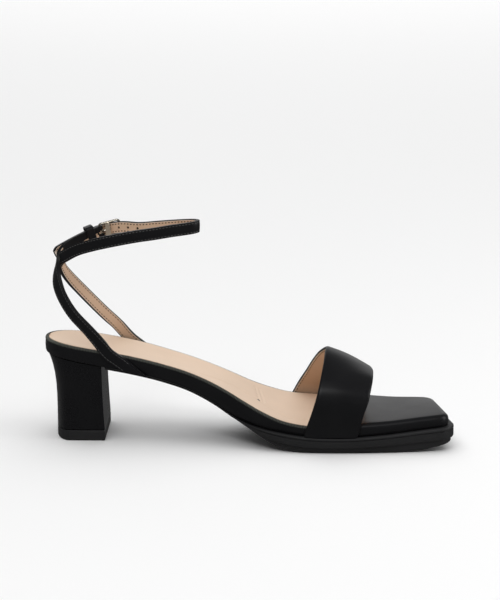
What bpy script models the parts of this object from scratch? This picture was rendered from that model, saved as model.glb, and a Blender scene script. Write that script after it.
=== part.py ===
"""Block heel sandal, left shoe.

Metres, +Z up, +X from heel to toe. The medial side (inner side of the foot) is at -Y and the lateral
side at +Y. The origin is on the floor, in the middle of the heel's walking piece.
Lengths in the tables are shares of the named sizes that they follow.
"""
import math

import bmesh
import bpy
import numpy as np
from mathutils import Matrix, Vector

# Sole and footbed
FOOTBED_LENGTH = 0.242      # back of the seat to the unrounded tip of the toe, without the ledge
BALL_WIDTH = 0.0775         # across the footbed at the ball of the foot
SEAT_HEIGHT = 0.060         # rim of the footbed above the floor, at the back
BALL_HEIGHT = 0.0158        # rim of the footbed above the floor, at the ball
TOE_RISE = 0.0048           # how much higher the rim is at the toe than at the ball
TOE_LIFT = 0.0052           # toe spring of the tread
BAND_THICKNESS = 0.0096     # wrapped edge of the footbed
RIM_ROUND = 0.0016          # rounding of the footbed's upper edge
TOE_ROUND = 0.0034          # softer rounding of the same edge at the padded toe
TOE_SLANT = 0.0105          # how far the lateral toe corner lies behind the medial one
TOE_CORNER_MEDIAL = 0.0070
TOE_CORNER_LATERAL = 0.0120
SEAT_DISH = 0.0012          # how deep the footbed is dished across
TOE_CROWN = 0.5             # the padded toe's crown, as a share of the dish
PAD_RISE = 0.0014           # padding under the leather of the toe
SOCK_THICKNESS = 0.0012
SOCK_MARGIN = 0.0020        # wrapped rim left bare round the sock
LEDGE_WIDTH = 0.0026        # how far the outsole stands proud of the footbed
SIDE_HEIGHT = 0.0064        # side band of the outsole
GROOVE_DEPTH = 0.0005       # groove that runs round the side band
TREAD_INSET = 0.0016        # the tread lies in from the side band
SHANK_THICKNESS = 0.0020    # outsole under the arch
EDGE_BREAK = 0.0004         # broken edges of the outsole and the walking piece
SEAT_SQUARE = 0.95          # under 1 makes the round seat fuller than an ellipse
END_PULL = 0.09             # how far the sections are drawn towards a rounded end

# Heel
HEEL_LENGTH = 0.0299
HEEL_WIDTH = 0.0440
HEEL_TURN = math.radians(2.8)
HEEL_BACK_ROUND = 0.0089    # depth of the rounded back of the block
SEAT_OVERHANG = 0.00635     # the seat reaches this far behind the walking piece
SEAT_MARGIN = 0.0016        # the block lies in from the edge of the seat
BREAST_FLARE = 0.0014       # the breast leans forward by this much at the floor
TOP_PIECE_HEIGHT = 0.0062
HEEL_SPREAD = 4             # power of the height by which the block takes the seat's outline
HEEL_LEVELS = (0.0, 0.01, 0.10, 0.25, 0.42, 0.58, 0.72, 0.84, 0.93, 1.0)

# Straps
VAMP_THICKNESS = 0.0022
VAMP_RISE_REAR = 0.0384     # clear height over the footbed under the rear edge
VAMP_RISE_FRONT = 0.0250    # the same under the front edge
VAMP_SWELL = 0.0012         # the vamp strap's middle stands out from a straight line by this much
STRAP_WIDTH = 0.0072
STRAP_THICKNESS = 0.0020
ANKLE_LENGTH = 0.0830       # crossing behind the ankle to the front bend
ANKLE_BACK = -0.0125        # the crossing, along X
ANKLE_WIDTH = 0.0360
ANKLE_HEIGHT = 0.1265       # middle of the strap above the floor, at the front bend
TIP_WIDTH = 0.72            # share of the strap's width left at the tip of the tail

# Buckle and keeper
BUCKLE_LENGTH = 0.0124      # hinge bar to end bar
BUCKLE_WIRE = 0.0007        # radius
BUCKLE_SLOPE = 0.26         # rise for each unit forward
BUCKLE_TURN = 0.10          # outwards for each unit forward
CENTRE_BAR = 0.0056         # hinge bar to centre bar
CENTRE_BAR_BOW = 0.0011     # the centre bar lies in from the frame, towards the ankle
PRONG_WIRE = 0.00055        # radius
PRONG_WALL = 0.0006         # wall of the prong's eye
PRONG_EYE = 0.0018          # width of the prong's eye along the hinge bar
KEEPER_LENGTH = 0.0050
KEEPER_WALL = 0.0010
KEEPER_AT = 0.0070          # hinge bar back to the middle of the keeper
END_BAR_PASS = 1.35         # the tail goes inside the end bar by this share of touching it
EYE_PASS = 1.05             # the same where it lies over the folded end
SLOT_REACH = 1.25           # radius of the cut for the prong's eye, as a share of the folded end's

CLEARANCE = 0.0003          # between pieces that touch

COLLECTION = "block_heel_sandal"
FOOTBED_BACK = -(HEEL_LENGTH / 2 + SEAT_OVERHANG)
UP = Vector((0.0, 0.0, 1.0))

# Outline of the footbed between the rounded seat and the toe. Half widths are measured from the X axis.
FLANK_COLUMNS = ("along", "medial", "lateral")
FLANKS = (
    (0.114, 0.306, 0.262),
    (0.164, 0.310, 0.260),
    (0.222, 0.307, 0.246),
    (0.297, 0.305, 0.217),
    (0.364, 0.315, 0.206),
    (0.430, 0.338, 0.233),
    (0.493, 0.381, 0.299),
    (0.547, 0.434, 0.382),
    (0.597, 0.472, 0.454),
    (0.651, 0.494, 0.500),
    (0.718, 0.493, 0.491),
    (0.789, 0.475, 0.434),
    (0.860, 0.445, 0.342),
    (0.922, 0.412, 0.266),
)
TOE_CORNERS = {"medial": 0.369, "lateral": 0.224}
SOCK_END = 0.752            # shares of the footbed's length, under the vamp strap
TOE_PAD = (0.745, 0.800)    # where the toe's padding starts and is full

# Side profile. drop: share of the seat's height over the ball. toe: share of TOE_RISE. band, side and
# ledge: shares of BAND_THICKNESS, SIDE_HEIGHT and LEDGE_WIDTH. shank: share of the height of the
# shank's underside that the tread keeps, 0 where it stands on the floor. spring: share of TOE_LIFT.
PROFILE_COLUMNS = ("along", "drop", "toe", "band", "side", "ledge", "shank", "spring")
PROFILE = (
    (0.000, 1.000, 0.00, 0.94, 0.12, -1.15, 1.00, 0.00),
    (0.072, 0.950, 0.00, 0.94, 0.12, -1.15, 1.00, 0.00),
    (0.147, 0.889, 0.00, 0.98, 0.12, -1.15, 1.00, 0.00),
    (0.222, 0.819, 0.00, 1.00, 0.12, -1.15, 1.00, 0.00),
    (0.297, 0.722, 0.00, 1.00, 0.12, -1.15, 1.00, 0.00),
    (0.364, 0.615, 0.00, 1.06, 0.12, -1.15, 1.00, 0.00),
    (0.430, 0.466, 0.00, 1.21, 0.12, -0.85, 1.00, 0.00),
    (0.464, 0.371, 0.00, 1.27, 0.16, -0.25, 1.00, 0.00),
    (0.497, 0.272, 0.00, 1.22, 0.25, 0.45, 1.00, 0.00),
    (0.547, 0.140, 0.00, 0.95, 0.64, 0.92, 0.66, 0.00),
    (0.589, 0.054, 0.00, 0.70, 0.88, 1.00, 0.24, 0.00),
    (0.640, 0.004, 0.00, 0.60, 0.95, 1.00, 0.00, 0.00),
    (0.735, 0.000, 0.00, 0.65, 0.95, 1.00, 0.00, 0.00),
    (0.845, 0.000, 0.22, 0.60, 1.00, 1.00, 0.00, 0.00),
    (0.930, 0.000, 0.66, 0.58, 1.06, 1.12, 0.00, 0.25),
    (1.020, 0.000, 1.08, 0.56, 1.10, 1.28, 0.00, 1.15),
)

# Inner face of the vamp strap, from the medial ledge over the foot to the lateral ledge. out: share of
# the footbed's half width. up: share of the clear height, or of the band's thickness where negative.
VAMP_COLUMNS = ("rear_out", "rear_up", "rear_along", "front_out", "front_up", "front_along")
VAMP = (
    (-1.00, -1.00, 0.647, -1.00, -1.00, 0.776),
    (-1.00, 0.00, 0.653, -1.00, 0.00, 0.782),
    (-1.01, 0.21, 0.664, -1.00, 0.28, 0.790),
    (-0.99, 0.42, 0.674, -0.965, 0.545, 0.800),
    (-0.915, 0.595, 0.681, -0.875, 0.755, 0.805),
    (-0.74, 0.76, 0.686, -0.625, 0.94, 0.809),
    (-0.48, 0.91, 0.690, -0.31, 1.00, 0.808),
    (-0.21, 0.99, 0.691, -0.08, 0.985, 0.804),
    (0.02, 0.975, 0.690, 0.22, 0.915, 0.797),
    (0.28, 0.84, 0.672, 0.49, 0.77, 0.784),
    (0.55, 0.63, 0.654, 0.72, 0.545, 0.769),
    (0.79, 0.41, 0.638, 0.905, 0.27, 0.755),
    (0.95, 0.19, 0.620, 0.985, 0.12, 0.748),
    (1.00, 0.00, 0.605, 1.00, 0.00, 0.740),
    (1.00, -1.00, 0.594, 1.00, -1.00, 0.730),
)

# Middle lines of the two ankle straps above the rim. along: share of ANKLE_LENGTH from the crossing.
# out: share of ANKLE_WIDTH, positive to the lateral side. up: share of the height from the rim at the
# strap's root to the front bend. lean: degrees that the strap is turned about its own line.
ANKLE_COLUMNS = ("along", "out", "up", "lean")
HINGE_BAR = (0.271, 0.455, 0.903, 0)
BUCKLE_STRAP_ROOT = 0.229   # share of FOOTBED_LENGTH, on the medial side
BUCKLE_STRAP = (
    (0.324, -0.717, 0.115, -8),
    (0.239, -0.681, 0.218, -12),
    (0.131, -0.569, 0.327, -6),
    (0.065, -0.458, 0.415, 4),
    (0.018, -0.333, 0.496, 14),
    (-0.008, -0.222, 0.577, 24),
    (-0.014, -0.097, 0.661, 24),
    (-0.001, 0.028, 0.745, 12),
    (0.036, 0.139, 0.791, 4),
    (0.102, 0.267, 0.834, 0),
    (0.187, 0.389, 0.872, 0),
)
LONG_STRAP_ROOT = 0.262     # share of FOOTBED_LENGTH, on the lateral side
LONG_STRAP = (
    (0.378, 0.600, 0.150, 10),
    (0.288, 0.556, 0.245, 16),
    (0.128, 0.411, 0.443, 18),
    (0.054, 0.292, 0.549, 14),
    (0.018, 0.167, 0.623, 8),
    (0.004, 0.010, 0.705, 0),
    (0.016, -0.069, 0.740, 0),
    (0.045, -0.139, 0.765, 0),
    (0.128, -0.250, 0.820, 0),
    (0.210, -0.347, 0.857, 0),
    (0.318, -0.439, 0.895, 0),
    (0.448, -0.472, 0.929, 0),
    (0.572, -0.430, 0.952, 0),
    (0.698, -0.347, 0.967, 0),
    (0.820, -0.250, 0.983, 0),
    (0.910, -0.161, 0.991, 0),
    (0.972, -0.089, 0.998, 0),
    (0.998, 0.000, 1.003, 0),
    (0.972, 0.083, 1.002, 0),
    (0.889, 0.161, 0.993, 0),
    (0.712, 0.258, 0.970, 0),
    (0.560, 0.330, 0.950, 0),
)
TAIL = (
    (-0.024, 0.270, 0.760, 0),
    (-0.045, 0.222, 0.742, 0),
)

# A strap's way up the footbed's edge. along: share of FOOTBED_LENGTH from the root. up: share of the
# band's thickness, from the rim.
ROOT_COLUMNS = ("along", "up")
ROOT = (
    (0.024, -1.35),
    (0.003, -1.00),
    (-0.031, -0.46),
    (-0.063, 0.00),
)


def column(rows, names, name):
    """One named column of a table."""
    return np.array([row[names.index(name)] for row in rows])


def smooth(at, places, values):
    """Cubic through a table's values, with slopes from each row's neighbours."""
    places = np.asarray(places, float)
    values = np.asarray(values, float)
    slopes = np.gradient(values, places)
    at = np.clip(at, places[0], places[-1])
    row = np.clip(np.searchsorted(places, at) - 1, 0, len(places) - 2)
    step = places[row + 1] - places[row]
    s = (at - places[row]) / step
    start = (1 + 2 * s) * (1 - s) ** 2 * values[row] + s * (1 - s) ** 2 * step * slopes[row]
    end = s * s * (3 - 2 * s) * values[row + 1] + s * s * (s - 1) * step * slopes[row + 1]
    return start + end


def along_x(share):
    """Place along X of a share of the footbed's length."""
    return FOOTBED_BACK + share * FOOTBED_LENGTH


def profile(name, x):
    """A column of the side profile at a place along X."""
    share = (np.asarray(x, float) - FOOTBED_BACK) / FOOTBED_LENGTH
    return smooth(share, column(PROFILE, PROFILE_COLUMNS, "along"), column(PROFILE, PROFILE_COLUMNS, name))


def flank(side, x):
    """Half width of the footbed at a place along X, where the outline is neither seat nor toe."""
    share = (np.asarray(x, float) - FOOTBED_BACK) / FOOTBED_LENGTH
    places = column(FLANKS, FLANK_COLUMNS, "along")
    return BALL_WIDTH * smooth(share, places, column(FLANKS, FLANK_COLUMNS, side))


def deck(x):
    """Height of the footbed's rim."""
    return BALL_HEIGHT + (SEAT_HEIGHT - BALL_HEIGHT) * profile("drop", x) + TOE_RISE * profile("toe", x)


def band(x):
    """Height of the footbed's wrapped edge."""
    return BAND_THICKNESS * profile("band", x)


def underside(x):
    """Height of the footbed's flat underside."""
    return deck(x) - band(x)


def tread(x):
    """Height of the outsole's lowest face, which stands on the floor at the ball."""
    shank = underside(x) - CLEARANCE - SHANK_THICKNESS
    return np.maximum(shank * profile("shank", x), 0.0) + TOE_LIFT * np.maximum(profile("spring", x), 0.0)


def fillet(start, corner, end, radius, count):
    """Points of an arc that rounds a corner between two straight runs."""
    start, corner, end = (np.array(p, float) for p in (start, corner, end))
    back = (start - corner) / np.linalg.norm(start - corner)
    ahead = (end - corner) / np.linalg.norm(end - corner)
    half = math.acos(float(np.clip(back @ ahead, -1, 1))) / 2
    middle = (back + ahead) / np.linalg.norm(back + ahead)
    centre = corner + middle * radius / math.sin(half)
    first = corner + back * radius / math.tan(half) - centre
    last = corner + ahead * radius / math.tan(half) - centre
    turn = math.pi - 2 * half
    steps = np.linspace(0, 1, count)[:, None]
    return centre + (first * np.sin((1 - steps) * turn) + last * np.sin(steps * turn)) / math.sin(turn)


def footbed_side(side):
    """Outline of one side of the footbed, from the back of the seat to the flat front of the toe."""
    sign = -1 if side == "medial" else 1
    places = column(FLANKS, FLANK_COLUMNS, "along")
    shoulder = along_x(places[0])
    widths = {name: float(flank(name, shoulder)) for name in ("medial", "lateral")}
    middle = (widths["lateral"] - widths["medial"]) / 2
    half = (widths["lateral"] + widths["medial"]) / 2
    angles = np.linspace(0, math.pi / 2, 12)
    seat = np.stack([shoulder - (shoulder - FOOTBED_BACK) * np.cos(angles) ** SEAT_SQUARE,
                     middle + sign * half * np.sin(angles) ** SEAT_SQUARE], axis=1)
    xs = np.linspace(shoulder, along_x(places[-1]), 60)[1:]
    straight = np.stack([xs, sign * flank(side, xs)], axis=1)
    tips = {"medial": (along_x(1.0), -TOE_CORNERS["medial"] * BALL_WIDTH),
            "lateral": (along_x(1.0) - TOE_SLANT, TOE_CORNERS["lateral"] * BALL_WIDTH)}
    front = (np.array(tips["medial"]) + np.array(tips["lateral"])) / 2
    radius = TOE_CORNER_MEDIAL if side == "medial" else TOE_CORNER_LATERAL
    corner = fillet(straight[-1], tips[side], front, radius, 10)
    return np.concatenate([seat, straight, corner])


SIDES = {name: footbed_side(name) for name in ("medial", "lateral")}


def offset_side(side, distance):
    """One side of the outline moved outwards in plan. The two ends stay on the same line as before."""
    points = SIDES[side]
    sign = -1 if side == "medial" else 1
    run = np.cumsum(np.linalg.norm(np.diff(points, axis=0, prepend=points[:1]), axis=1))
    ahead = np.gradient(points, run, axis=0)
    ahead[0] = (0, sign)
    ahead[-1] = (SIDES["lateral"][-1] - SIDES["medial"][-1]) * -sign
    ahead /= np.linalg.norm(ahead, axis=1)[:, None]
    out = np.stack([ahead[:, 1], -ahead[:, 0]], axis=1) * -sign
    distances = distance(points[:, 0]) if callable(distance) else distance
    return points + out * np.reshape(distances, (-1, 1))


def spread(points, shares):
    """Points at the given shares of a line's length."""
    run = np.concatenate([[0], np.cumsum(np.linalg.norm(np.diff(points, axis=0), axis=1))])
    at = np.asarray(shares) * run[-1]
    return np.stack([np.interp(at, run, points[:, axis]) for axis in range(points.shape[1])], axis=1)


def cut_line(points, start_x, end_x):
    """The stretch of a side's outline between two places along X."""
    keep = points
    if start_x is not None:
        first = int(np.argmax(points[:, 0] > start_x))
        low, high = points[first - 1], points[first]
        share = (start_x - low[0]) / (high[0] - low[0])
        keep = np.concatenate([(low + (high - low) * share)[None], points[first:]])
    if end_x is not None:
        last = int(np.argmax(keep[:, 0] > end_x))
        low, high = keep[last - 1], keep[last]
        share = (end_x - low[0]) / (high[0] - low[0])
        keep = np.concatenate([keep[:last], (low + (high - low) * share)[None]])
    return keep


def stations(count, seat_end, toe_end):
    """Shares of the way along a side, closer together at a rounded seat or toe."""
    even = np.linspace(0, 1, count)
    swing = END_PULL * np.sin(math.pi * even)
    to_seat = swing * seat_end * (1 - even)
    to_toe = swing * toe_end * even
    return np.clip(even - (to_seat + to_toe) * (seat_end * (1 - even) - toe_end * even), 0, 1)


def pairs(distance, shares, start_x=None, end_x=None):
    """Matching points on the medial and lateral outline, moved outwards by a distance."""
    lines = []
    for side in ("medial", "lateral"):
        line = cut_line(offset_side(side, distance), start_x, end_x)
        lines.append(spread(line, shares))
    return lines


def new_object(name, points, faces, finish):
    """A mesh object in the shoe's collection."""
    mesh = bpy.data.meshes.new(name)
    mesh.from_pydata([tuple(map(float, p)) for p in points], [], faces)
    mesh.materials.append(finish)
    item = bpy.data.objects.new(name, mesh)
    bpy.data.collections[COLLECTION].objects.link(item)
    return item


def finish_mesh(item, weld=0.00002, angle=40.0):
    """Weld the seams, point the faces outwards and shade smooth."""
    work = bmesh.new()
    work.from_mesh(item.data)
    bmesh.ops.remove_doubles(work, verts=work.verts, dist=weld)
    bmesh.ops.dissolve_degenerate(work, edges=work.edges, dist=weld / 2)
    bmesh.ops.recalc_face_normals(work, faces=work.faces)
    if work.calc_volume(signed=True) < 0:
        bmesh.ops.reverse_faces(work, faces=work.faces)
    work.to_mesh(item.data)
    work.free()
    item.data.shade_smooth()
    item.data.set_sharp_from_angle(angle=math.radians(angle))
    return item


def layered(name, layers, finish, shares, columns=4, top_sag=None, base_sag=None, **cut):
    """A body from outline layers, listed from the top down, with rows of faces over top and base.

    Each layer is (outward distance, height), both functions of x. The sags give how far the top and
    the base lie below their rims, from x and the place across (-1 to 1).
    """
    loops = []
    for distance, height in layers:
        medial, lateral = pairs(distance, shares, **cut)
        loop = np.concatenate([medial, lateral[::-1]])
        loops.append(np.column_stack([loop, height(loop[:, 0])]))
    size = len(loops[0])
    half = size // 2
    points = np.concatenate(loops).tolist()
    faces = []
    end_rows = {}
    for level, sag in ((0, top_sag), (len(loops) - 1, base_sag)):
        rows = []
        for k in range(half):
            first, last = level * size + k, level * size + size - 1 - k
            row = [first]
            closed = np.linalg.norm(np.subtract(points[first], points[last])) < CLEARANCE
            for c in range(1, 1 if closed else columns):
                t = c / columns
                place = np.array(points[first]) * (1 - t) + np.array(points[last]) * t
                place[2] = layers[level][1](place[:1])[0]
                if sag is not None:
                    place[2] -= sag(place[0], 2 * t - 1)
                row.append(len(points))
                points.append(place.tolist())
            rows.append(row + [last])
        for near, far in zip(rows, rows[1:]):
            if len(near) == len(far):
                for c in range(len(near) - 1):
                    faces.append((near[c], near[c + 1], far[c + 1], far[c]))
            else:
                faces.append((*near, *far[::-1]))
        end_rows[level, size - 1] = rows[0][::-1]
        end_rows[level, half - 1] = rows[-1]
    for level in range(len(loops) - 1):
        for k in range(size):
            upper, lower = (end_rows.get((at, k), (at * size + k, at * size + (k + 1) % size))
                            for at in (level, level + 1))
            faces.append((*upper, *lower[::-1]))
    return finish_mesh(new_object(name, points, faces, finish))


def material(name, colour, roughness, metallic=0.0):
    """A plain Principled material."""
    made = bpy.data.materials.new(name)
    made.use_nodes = True
    shader = made.node_tree.nodes["Principled BSDF"]
    shader.inputs["Base Color"].default_value = (*colour, 1.0)
    shader.inputs["Roughness"].default_value = roughness
    shader.inputs["Metallic"].default_value = metallic
    made.diffuse_color = (*colour, 1.0)
    return made


def modifier(item, kind, **settings):
    """Add a modifier and set its values."""
    added = item.modifiers.new(kind.title(), kind)
    for key, value in settings.items():
        setattr(added, key, value)
    return added


def as_cutter(item):
    """Move a solid to the cutters, which the finished shoe leaves out."""
    for collection in list(item.users_collection):
        collection.objects.unlink(item)
    bpy.data.collections["cutters"].objects.link(item)
    item.hide_render = True
    item.display_type = "WIRE"
    return item


def combine(item, other, operation):
    """Boolean with a solid from the cutters."""
    return modifier(item, "BOOLEAN", operation=operation, object=as_cutter(other), solver="EXACT")


def toe_share(x):
    """0 behind the vamp strap, 1 on the padded toe in front of it."""
    start, full = (along_x(share) for share in TOE_PAD)
    s = np.clip((np.asarray(x, float) - start) / (full - start), 0, 1)
    return s * s * (3 - 2 * s)


def rim_round(x):
    """Rounding of the footbed's upper edge, softer at the toe."""
    return RIM_ROUND + (TOE_ROUND - RIM_ROUND) * toe_share(x)


def padded_deck(x):
    """Rim height with the padding of the toe."""
    return deck(x) + PAD_RISE * toe_share(x)


def dish(x, across):
    """How far the footbed lies below its rim: dished for the foot, crowned at the padded toe."""
    return SEAT_DISH * (1 - (1 + TOE_CROWN) * toe_share(x)) * (1 - across * across)


def make_footbed(leather):
    """Insole board wrapped in leather, with a recess for the sock."""
    layers = (
        (lambda x: -rim_round(x), padded_deck),
        (lambda x: -0.30 * rim_round(x), lambda x: padded_deck(x) - 0.30 * rim_round(x)),
        (lambda x: 0.0 * x, lambda x: padded_deck(x) - rim_round(x)),
        (lambda x: 0.0 * x, lambda x: underside(x) + 0.10 * band(x)),
        (lambda x: -0.10 * band(x), underside),
    )
    item = layered("footbed", layers, leather, stations(42, 1, 1), columns=6, top_sag=dish)
    recess = sock_slab("sock_recess", leather, CLEARANCE, 3 * SOCK_THICKNESS)
    combine(item, recess, "DIFFERENCE")
    return item


def sock_slab(name, finish, grow, lift):
    """The sock's own form, or the recess that holds it when it is grown."""
    end = along_x(SOCK_END) + grow
    margin = SOCK_MARGIN - grow
    layers = (
        (lambda x: -margin + 0.0 * x, lambda x: deck(x) + lift),
        (lambda x: -margin + 0.0 * x, lambda x: deck(x) - SOCK_THICKNESS - grow),
    )
    return layered(name, layers, finish, stations(34, 1, 0), columns=6,
                   top_sag=dish if grow == 0 else None, base_sag=dish, end_x=end)


def make_outsole(rubber):
    """Moulded outsole: thin shank, ledge, grooved side band and inset tread."""
    start = HEEL_LENGTH / 2 + CLEARANCE + math.tan(HEEL_TURN) * HEEL_WIDTH / 2

    def top(x):
        return underside(x) - CLEARANCE

    def side(share):
        return lambda x: top(x) - share * SIDE_HEIGHT * profile("side", x)

    def ledge(inset):
        return lambda x: LEDGE_WIDTH * profile("ledge", x) - inset

    def low(share):
        return lambda x: tread(x) + share * (side(1.0)(x) - tread(x))

    layers = (
        (ledge(EDGE_BREAK), top),
        (ledge(0.0), side(0.07)),
        (ledge(0.0), side(0.22)),
        (ledge(GROOVE_DEPTH), side(0.27)),
        (ledge(0.0), side(0.32)),
        (ledge(0.0), side(0.93)),
        (ledge(EDGE_BREAK), side(1.0)),
        (ledge(TREAD_INSET), side(1.0)),
        (ledge(TREAD_INSET), low(0.15)),
        (ledge(TREAD_INSET + EDGE_BREAK), tread),
    )
    return layered("outsole", layers, rubber, stations(36, 0, 1), columns=2, start_x=start)


def turned(points):
    """Turn heel points about the origin, as the block stands slightly turned under the seat."""
    cosine, sine = math.cos(HEEL_TURN), math.sin(HEEL_TURN)
    turn = np.array([[cosine, -sine], [sine, cosine]])
    return points @ turn.T


def heel_ring(lean, inset=0.0):
    """D-shaped outline of the block at the floor: straight sides, rounded back, flat breast."""
    half = HEEL_WIDTH / 2 - inset
    back = HEEL_LENGTH / 2 - inset
    front = HEEL_LENGTH / 2 - BREAST_FLARE + lean - inset
    centre = -(HEEL_LENGTH / 2 - HEEL_BACK_ROUND)
    angles = np.linspace(0, math.pi, 25)
    curve = np.stack([centre - (back + centre) * np.sin(angles), -half * np.cos(angles)], axis=1)
    side = np.linspace(front, centre, 5)[:-1]
    near = np.stack([side, np.full(4, -half)], axis=1)
    return turned(np.concatenate([near, curve, near[::-1] * (1, -1)]))


def seat_ring():
    """Outline of the block under the seat, which follows the footbed's own edge."""
    front = HEEL_LENGTH / 2 - BREAST_FLARE
    size = len(heel_ring(0.0))
    sides = []
    for side in ("medial", "lateral"):
        sides.append(cut_line(offset_side(side, -SEAT_MARGIN), None, front)[::-1])
    line = np.concatenate([sides[0], sides[1][::-1][1:]])
    ring = spread(line, np.linspace(0, 1, size))
    middle = ring[0] + (ring[-1] - ring[0]) / 2
    return turned(ring - middle) + middle


def loft_rings(name, rings, finish):
    """A body through closed rings of equal count, capped at both ends."""
    size = len(rings[0])
    points = np.concatenate(rings).tolist()
    faces = []
    for level in range(len(rings) - 1):
        for k in range(size):
            ahead = (k + 1) % size
            faces.append((level * size + k, level * size + ahead,
                          (level + 1) * size + ahead, (level + 1) * size + k))
    last = (len(rings) - 1) * size
    for start in (0, last):
        for k in range(size // 2):
            far = size - 1 - k
            if far - k > 1:
                faces.append((start + k, start + k + 1, start + far - 1, start + far))
    return finish_mesh(new_object(name, points, faces, finish))


def make_heel_block(leather):
    """Covered block: D-shaped at the floor, spreading to the seat near the top."""
    floor = TOP_PIECE_HEIGHT + CLEARANCE
    seat = seat_ring()
    rings = []
    for level in HEEL_LEVELS:
        lean = BREAST_FLARE * (1 - level) ** 2
        base = heel_ring(lean, inset=EDGE_BREAK if level == 0.0 else 0.0)
        plan = base + (seat - base) * level ** HEEL_SPREAD
        top = underside(plan[:, 0]) - CLEARANCE
        rings.append(np.column_stack([plan, floor + (top - floor) * level]))
    return loft_rings("heel_block", rings, leather)


def make_top_piece(rubber):
    """Walking piece under the block, flat on the floor."""
    rings = []
    for height, inset in ((0.0, EDGE_BREAK), (EDGE_BREAK, 0.0), (TOP_PIECE_HEIGHT - EDGE_BREAK, 0.0),
                          (TOP_PIECE_HEIGHT, EDGE_BREAK)):
        plan = heel_ring(BREAST_FLARE, inset)
        rings.append(np.column_stack([plan, np.full(len(plan), height)]))
    return loft_rings("heel_top_piece", rings, rubber)


def vamp_edge(edge, rise, places):
    """The vamp strap's rear or front edge on its inner face: share out, height over the rim, share along."""
    rows = np.arange(len(VAMP))
    out, up, along = (column(VAMP, VAMP_COLUMNS, f"{edge}_{name}") for name in ("out", "up", "along"))
    height = up * np.where(up < 0, band(along_x(along)), rise)
    return smooth(places, rows, out), smooth(places, rows, height), smooth(places, rows, along)


def make_vamp_strap(leather):
    """One wide strap over the toes. It stands on the outsole's ledge, outside the footbed."""
    across = np.linspace(0, len(VAMP) - 1, 35)
    rear = vamp_edge("rear", VAMP_RISE_REAR, across)
    front = vamp_edge("front", VAMP_RISE_FRONT, across)
    steps = np.linspace(0, 1, 7)
    points = []
    for step in steps:
        out, height, along = (r + (f - r) * step for r, f in zip(rear, front))
        x = along_x(along)
        width = np.where(out < 0, flank("medial", x), flank("lateral", x))
        y = np.where(np.abs(out) < 0.97, out * width, out * width + np.sign(out) * CLEARANCE)
        swell = VAMP_SWELL * math.sin(math.pi * step) * np.clip(height / VAMP_RISE_FRONT, 0, 1)
        z = np.maximum(deck(x) + height + swell, underside(x))
        points.extend(np.column_stack([x, y, z]).tolist())
    count = len(across)
    faces = []
    for row in range(len(steps) - 1):
        for k in range(count - 1):
            start = row * count + k
            faces.append((start, start + count, start + count + 1, start + 1))
    item = new_object("vamp_strap", points, faces, leather)
    item.data.shade_smooth()
    modifier(item, "SOLIDIFY", thickness=VAMP_THICKNESS, offset=1.0, use_even_offset=False)
    return item


def smooth_path(points, spacing):
    """Even points on a smooth curve through the given ones: a place and a lean in each row."""
    points = np.array([(*row, 0.0)[:4] for row in points], float)
    run = np.concatenate([[0], np.cumsum(np.linalg.norm(np.diff(points[:, :3], axis=0), axis=1) ** 0.5)])
    fine = np.linspace(0, run[-1], 40 * len(points))
    curve = np.stack([smooth(fine, run, points[:, axis]) for axis in range(4)], axis=1)
    length = np.concatenate([[0], np.cumsum(np.linalg.norm(np.diff(curve[:, :3], axis=0), axis=1))])
    at = np.linspace(0, length[-1], max(4, round(length[-1] / spacing)))
    return np.stack([np.interp(at, length, curve[:, axis]) for axis in range(4)], axis=1)


def strap_root(side, share):
    """A strap's way up the footbed's wrapped edge, from below its lower corner to over the rim."""
    sign = -1 if side == "medial" else 1
    reach = CLEARANCE + STRAP_THICKNESS / 2
    rows = []
    for step, up in ROOT:
        x = along_x(share + step)
        rows.append((x, sign * (float(flank(side, x)) + reach), float(deck(x) + up * band(x)), 0.0))
    return rows


def ankle_points(rows, root_share):
    """Table rows as points in the shoe's frame."""
    low = float(deck(along_x(root_share)))
    points = []
    for row in rows:
        along, out, up, lean = (row[ANKLE_COLUMNS.index(name)] for name in ANKLE_COLUMNS)
        points.append((ANKLE_BACK + along * ANKLE_LENGTH, out * ANKLE_WIDTH,
                       low + up * (ANKLE_HEIGHT - low), math.radians(lean)))
    return points


def buckle_frame_axes():
    """Hinge bar's middle, and the buckle's directions forwards, outwards and up."""
    hinge = Vector(ankle_points([HINGE_BAR], BUCKLE_STRAP_ROOT)[0][:3])
    forward = Vector((1.0, BUCKLE_TURN, BUCKLE_SLOPE)).normalized()
    outward = forward.cross(UP).normalized() * -1
    upward = outward.cross(forward).normalized() * -1
    return hinge, forward, outward, upward


def ribbon(name, path, outward_sign, finish, thickness=STRAP_THICKNESS, width=STRAP_WIDTH, tip=False):
    """A flat strap along a path, standing upright and facing away from the ankle, plus its lean."""
    ahead = np.gradient(path[:, :3], axis=0)
    points = []
    for k, (place, direction) in enumerate(zip(path, ahead)):
        direction = Vector(direction).normalized()
        level = Vector((direction.x, direction.y, 0.0))
        facing = UP.cross(level).normalized() * outward_sign
        across = facing.cross(direction).normalized()
        if across.z < 0:
            across.negate()
        across = Matrix.Rotation(float(place[3]), 3, direction) @ across
        half = width / 2
        if tip and k == len(path) - 1:
            half *= TIP_WIDTH
        for share in (-1.0, 0.0, 1.0):
            points.append(Vector(place[:3]) + across * half * share)
    faces = []
    for k in range(len(path) - 1):
        for c in range(2):
            start = 3 * k + c
            faces.append((start, start + 1, start + 4, start + 3))
    item = new_object(name, points, faces, finish)
    item.data.shade_smooth()
    modifier(item, "SOLIDIFY", thickness=thickness, offset=0.0, use_even_offset=True)
    return item


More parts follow.
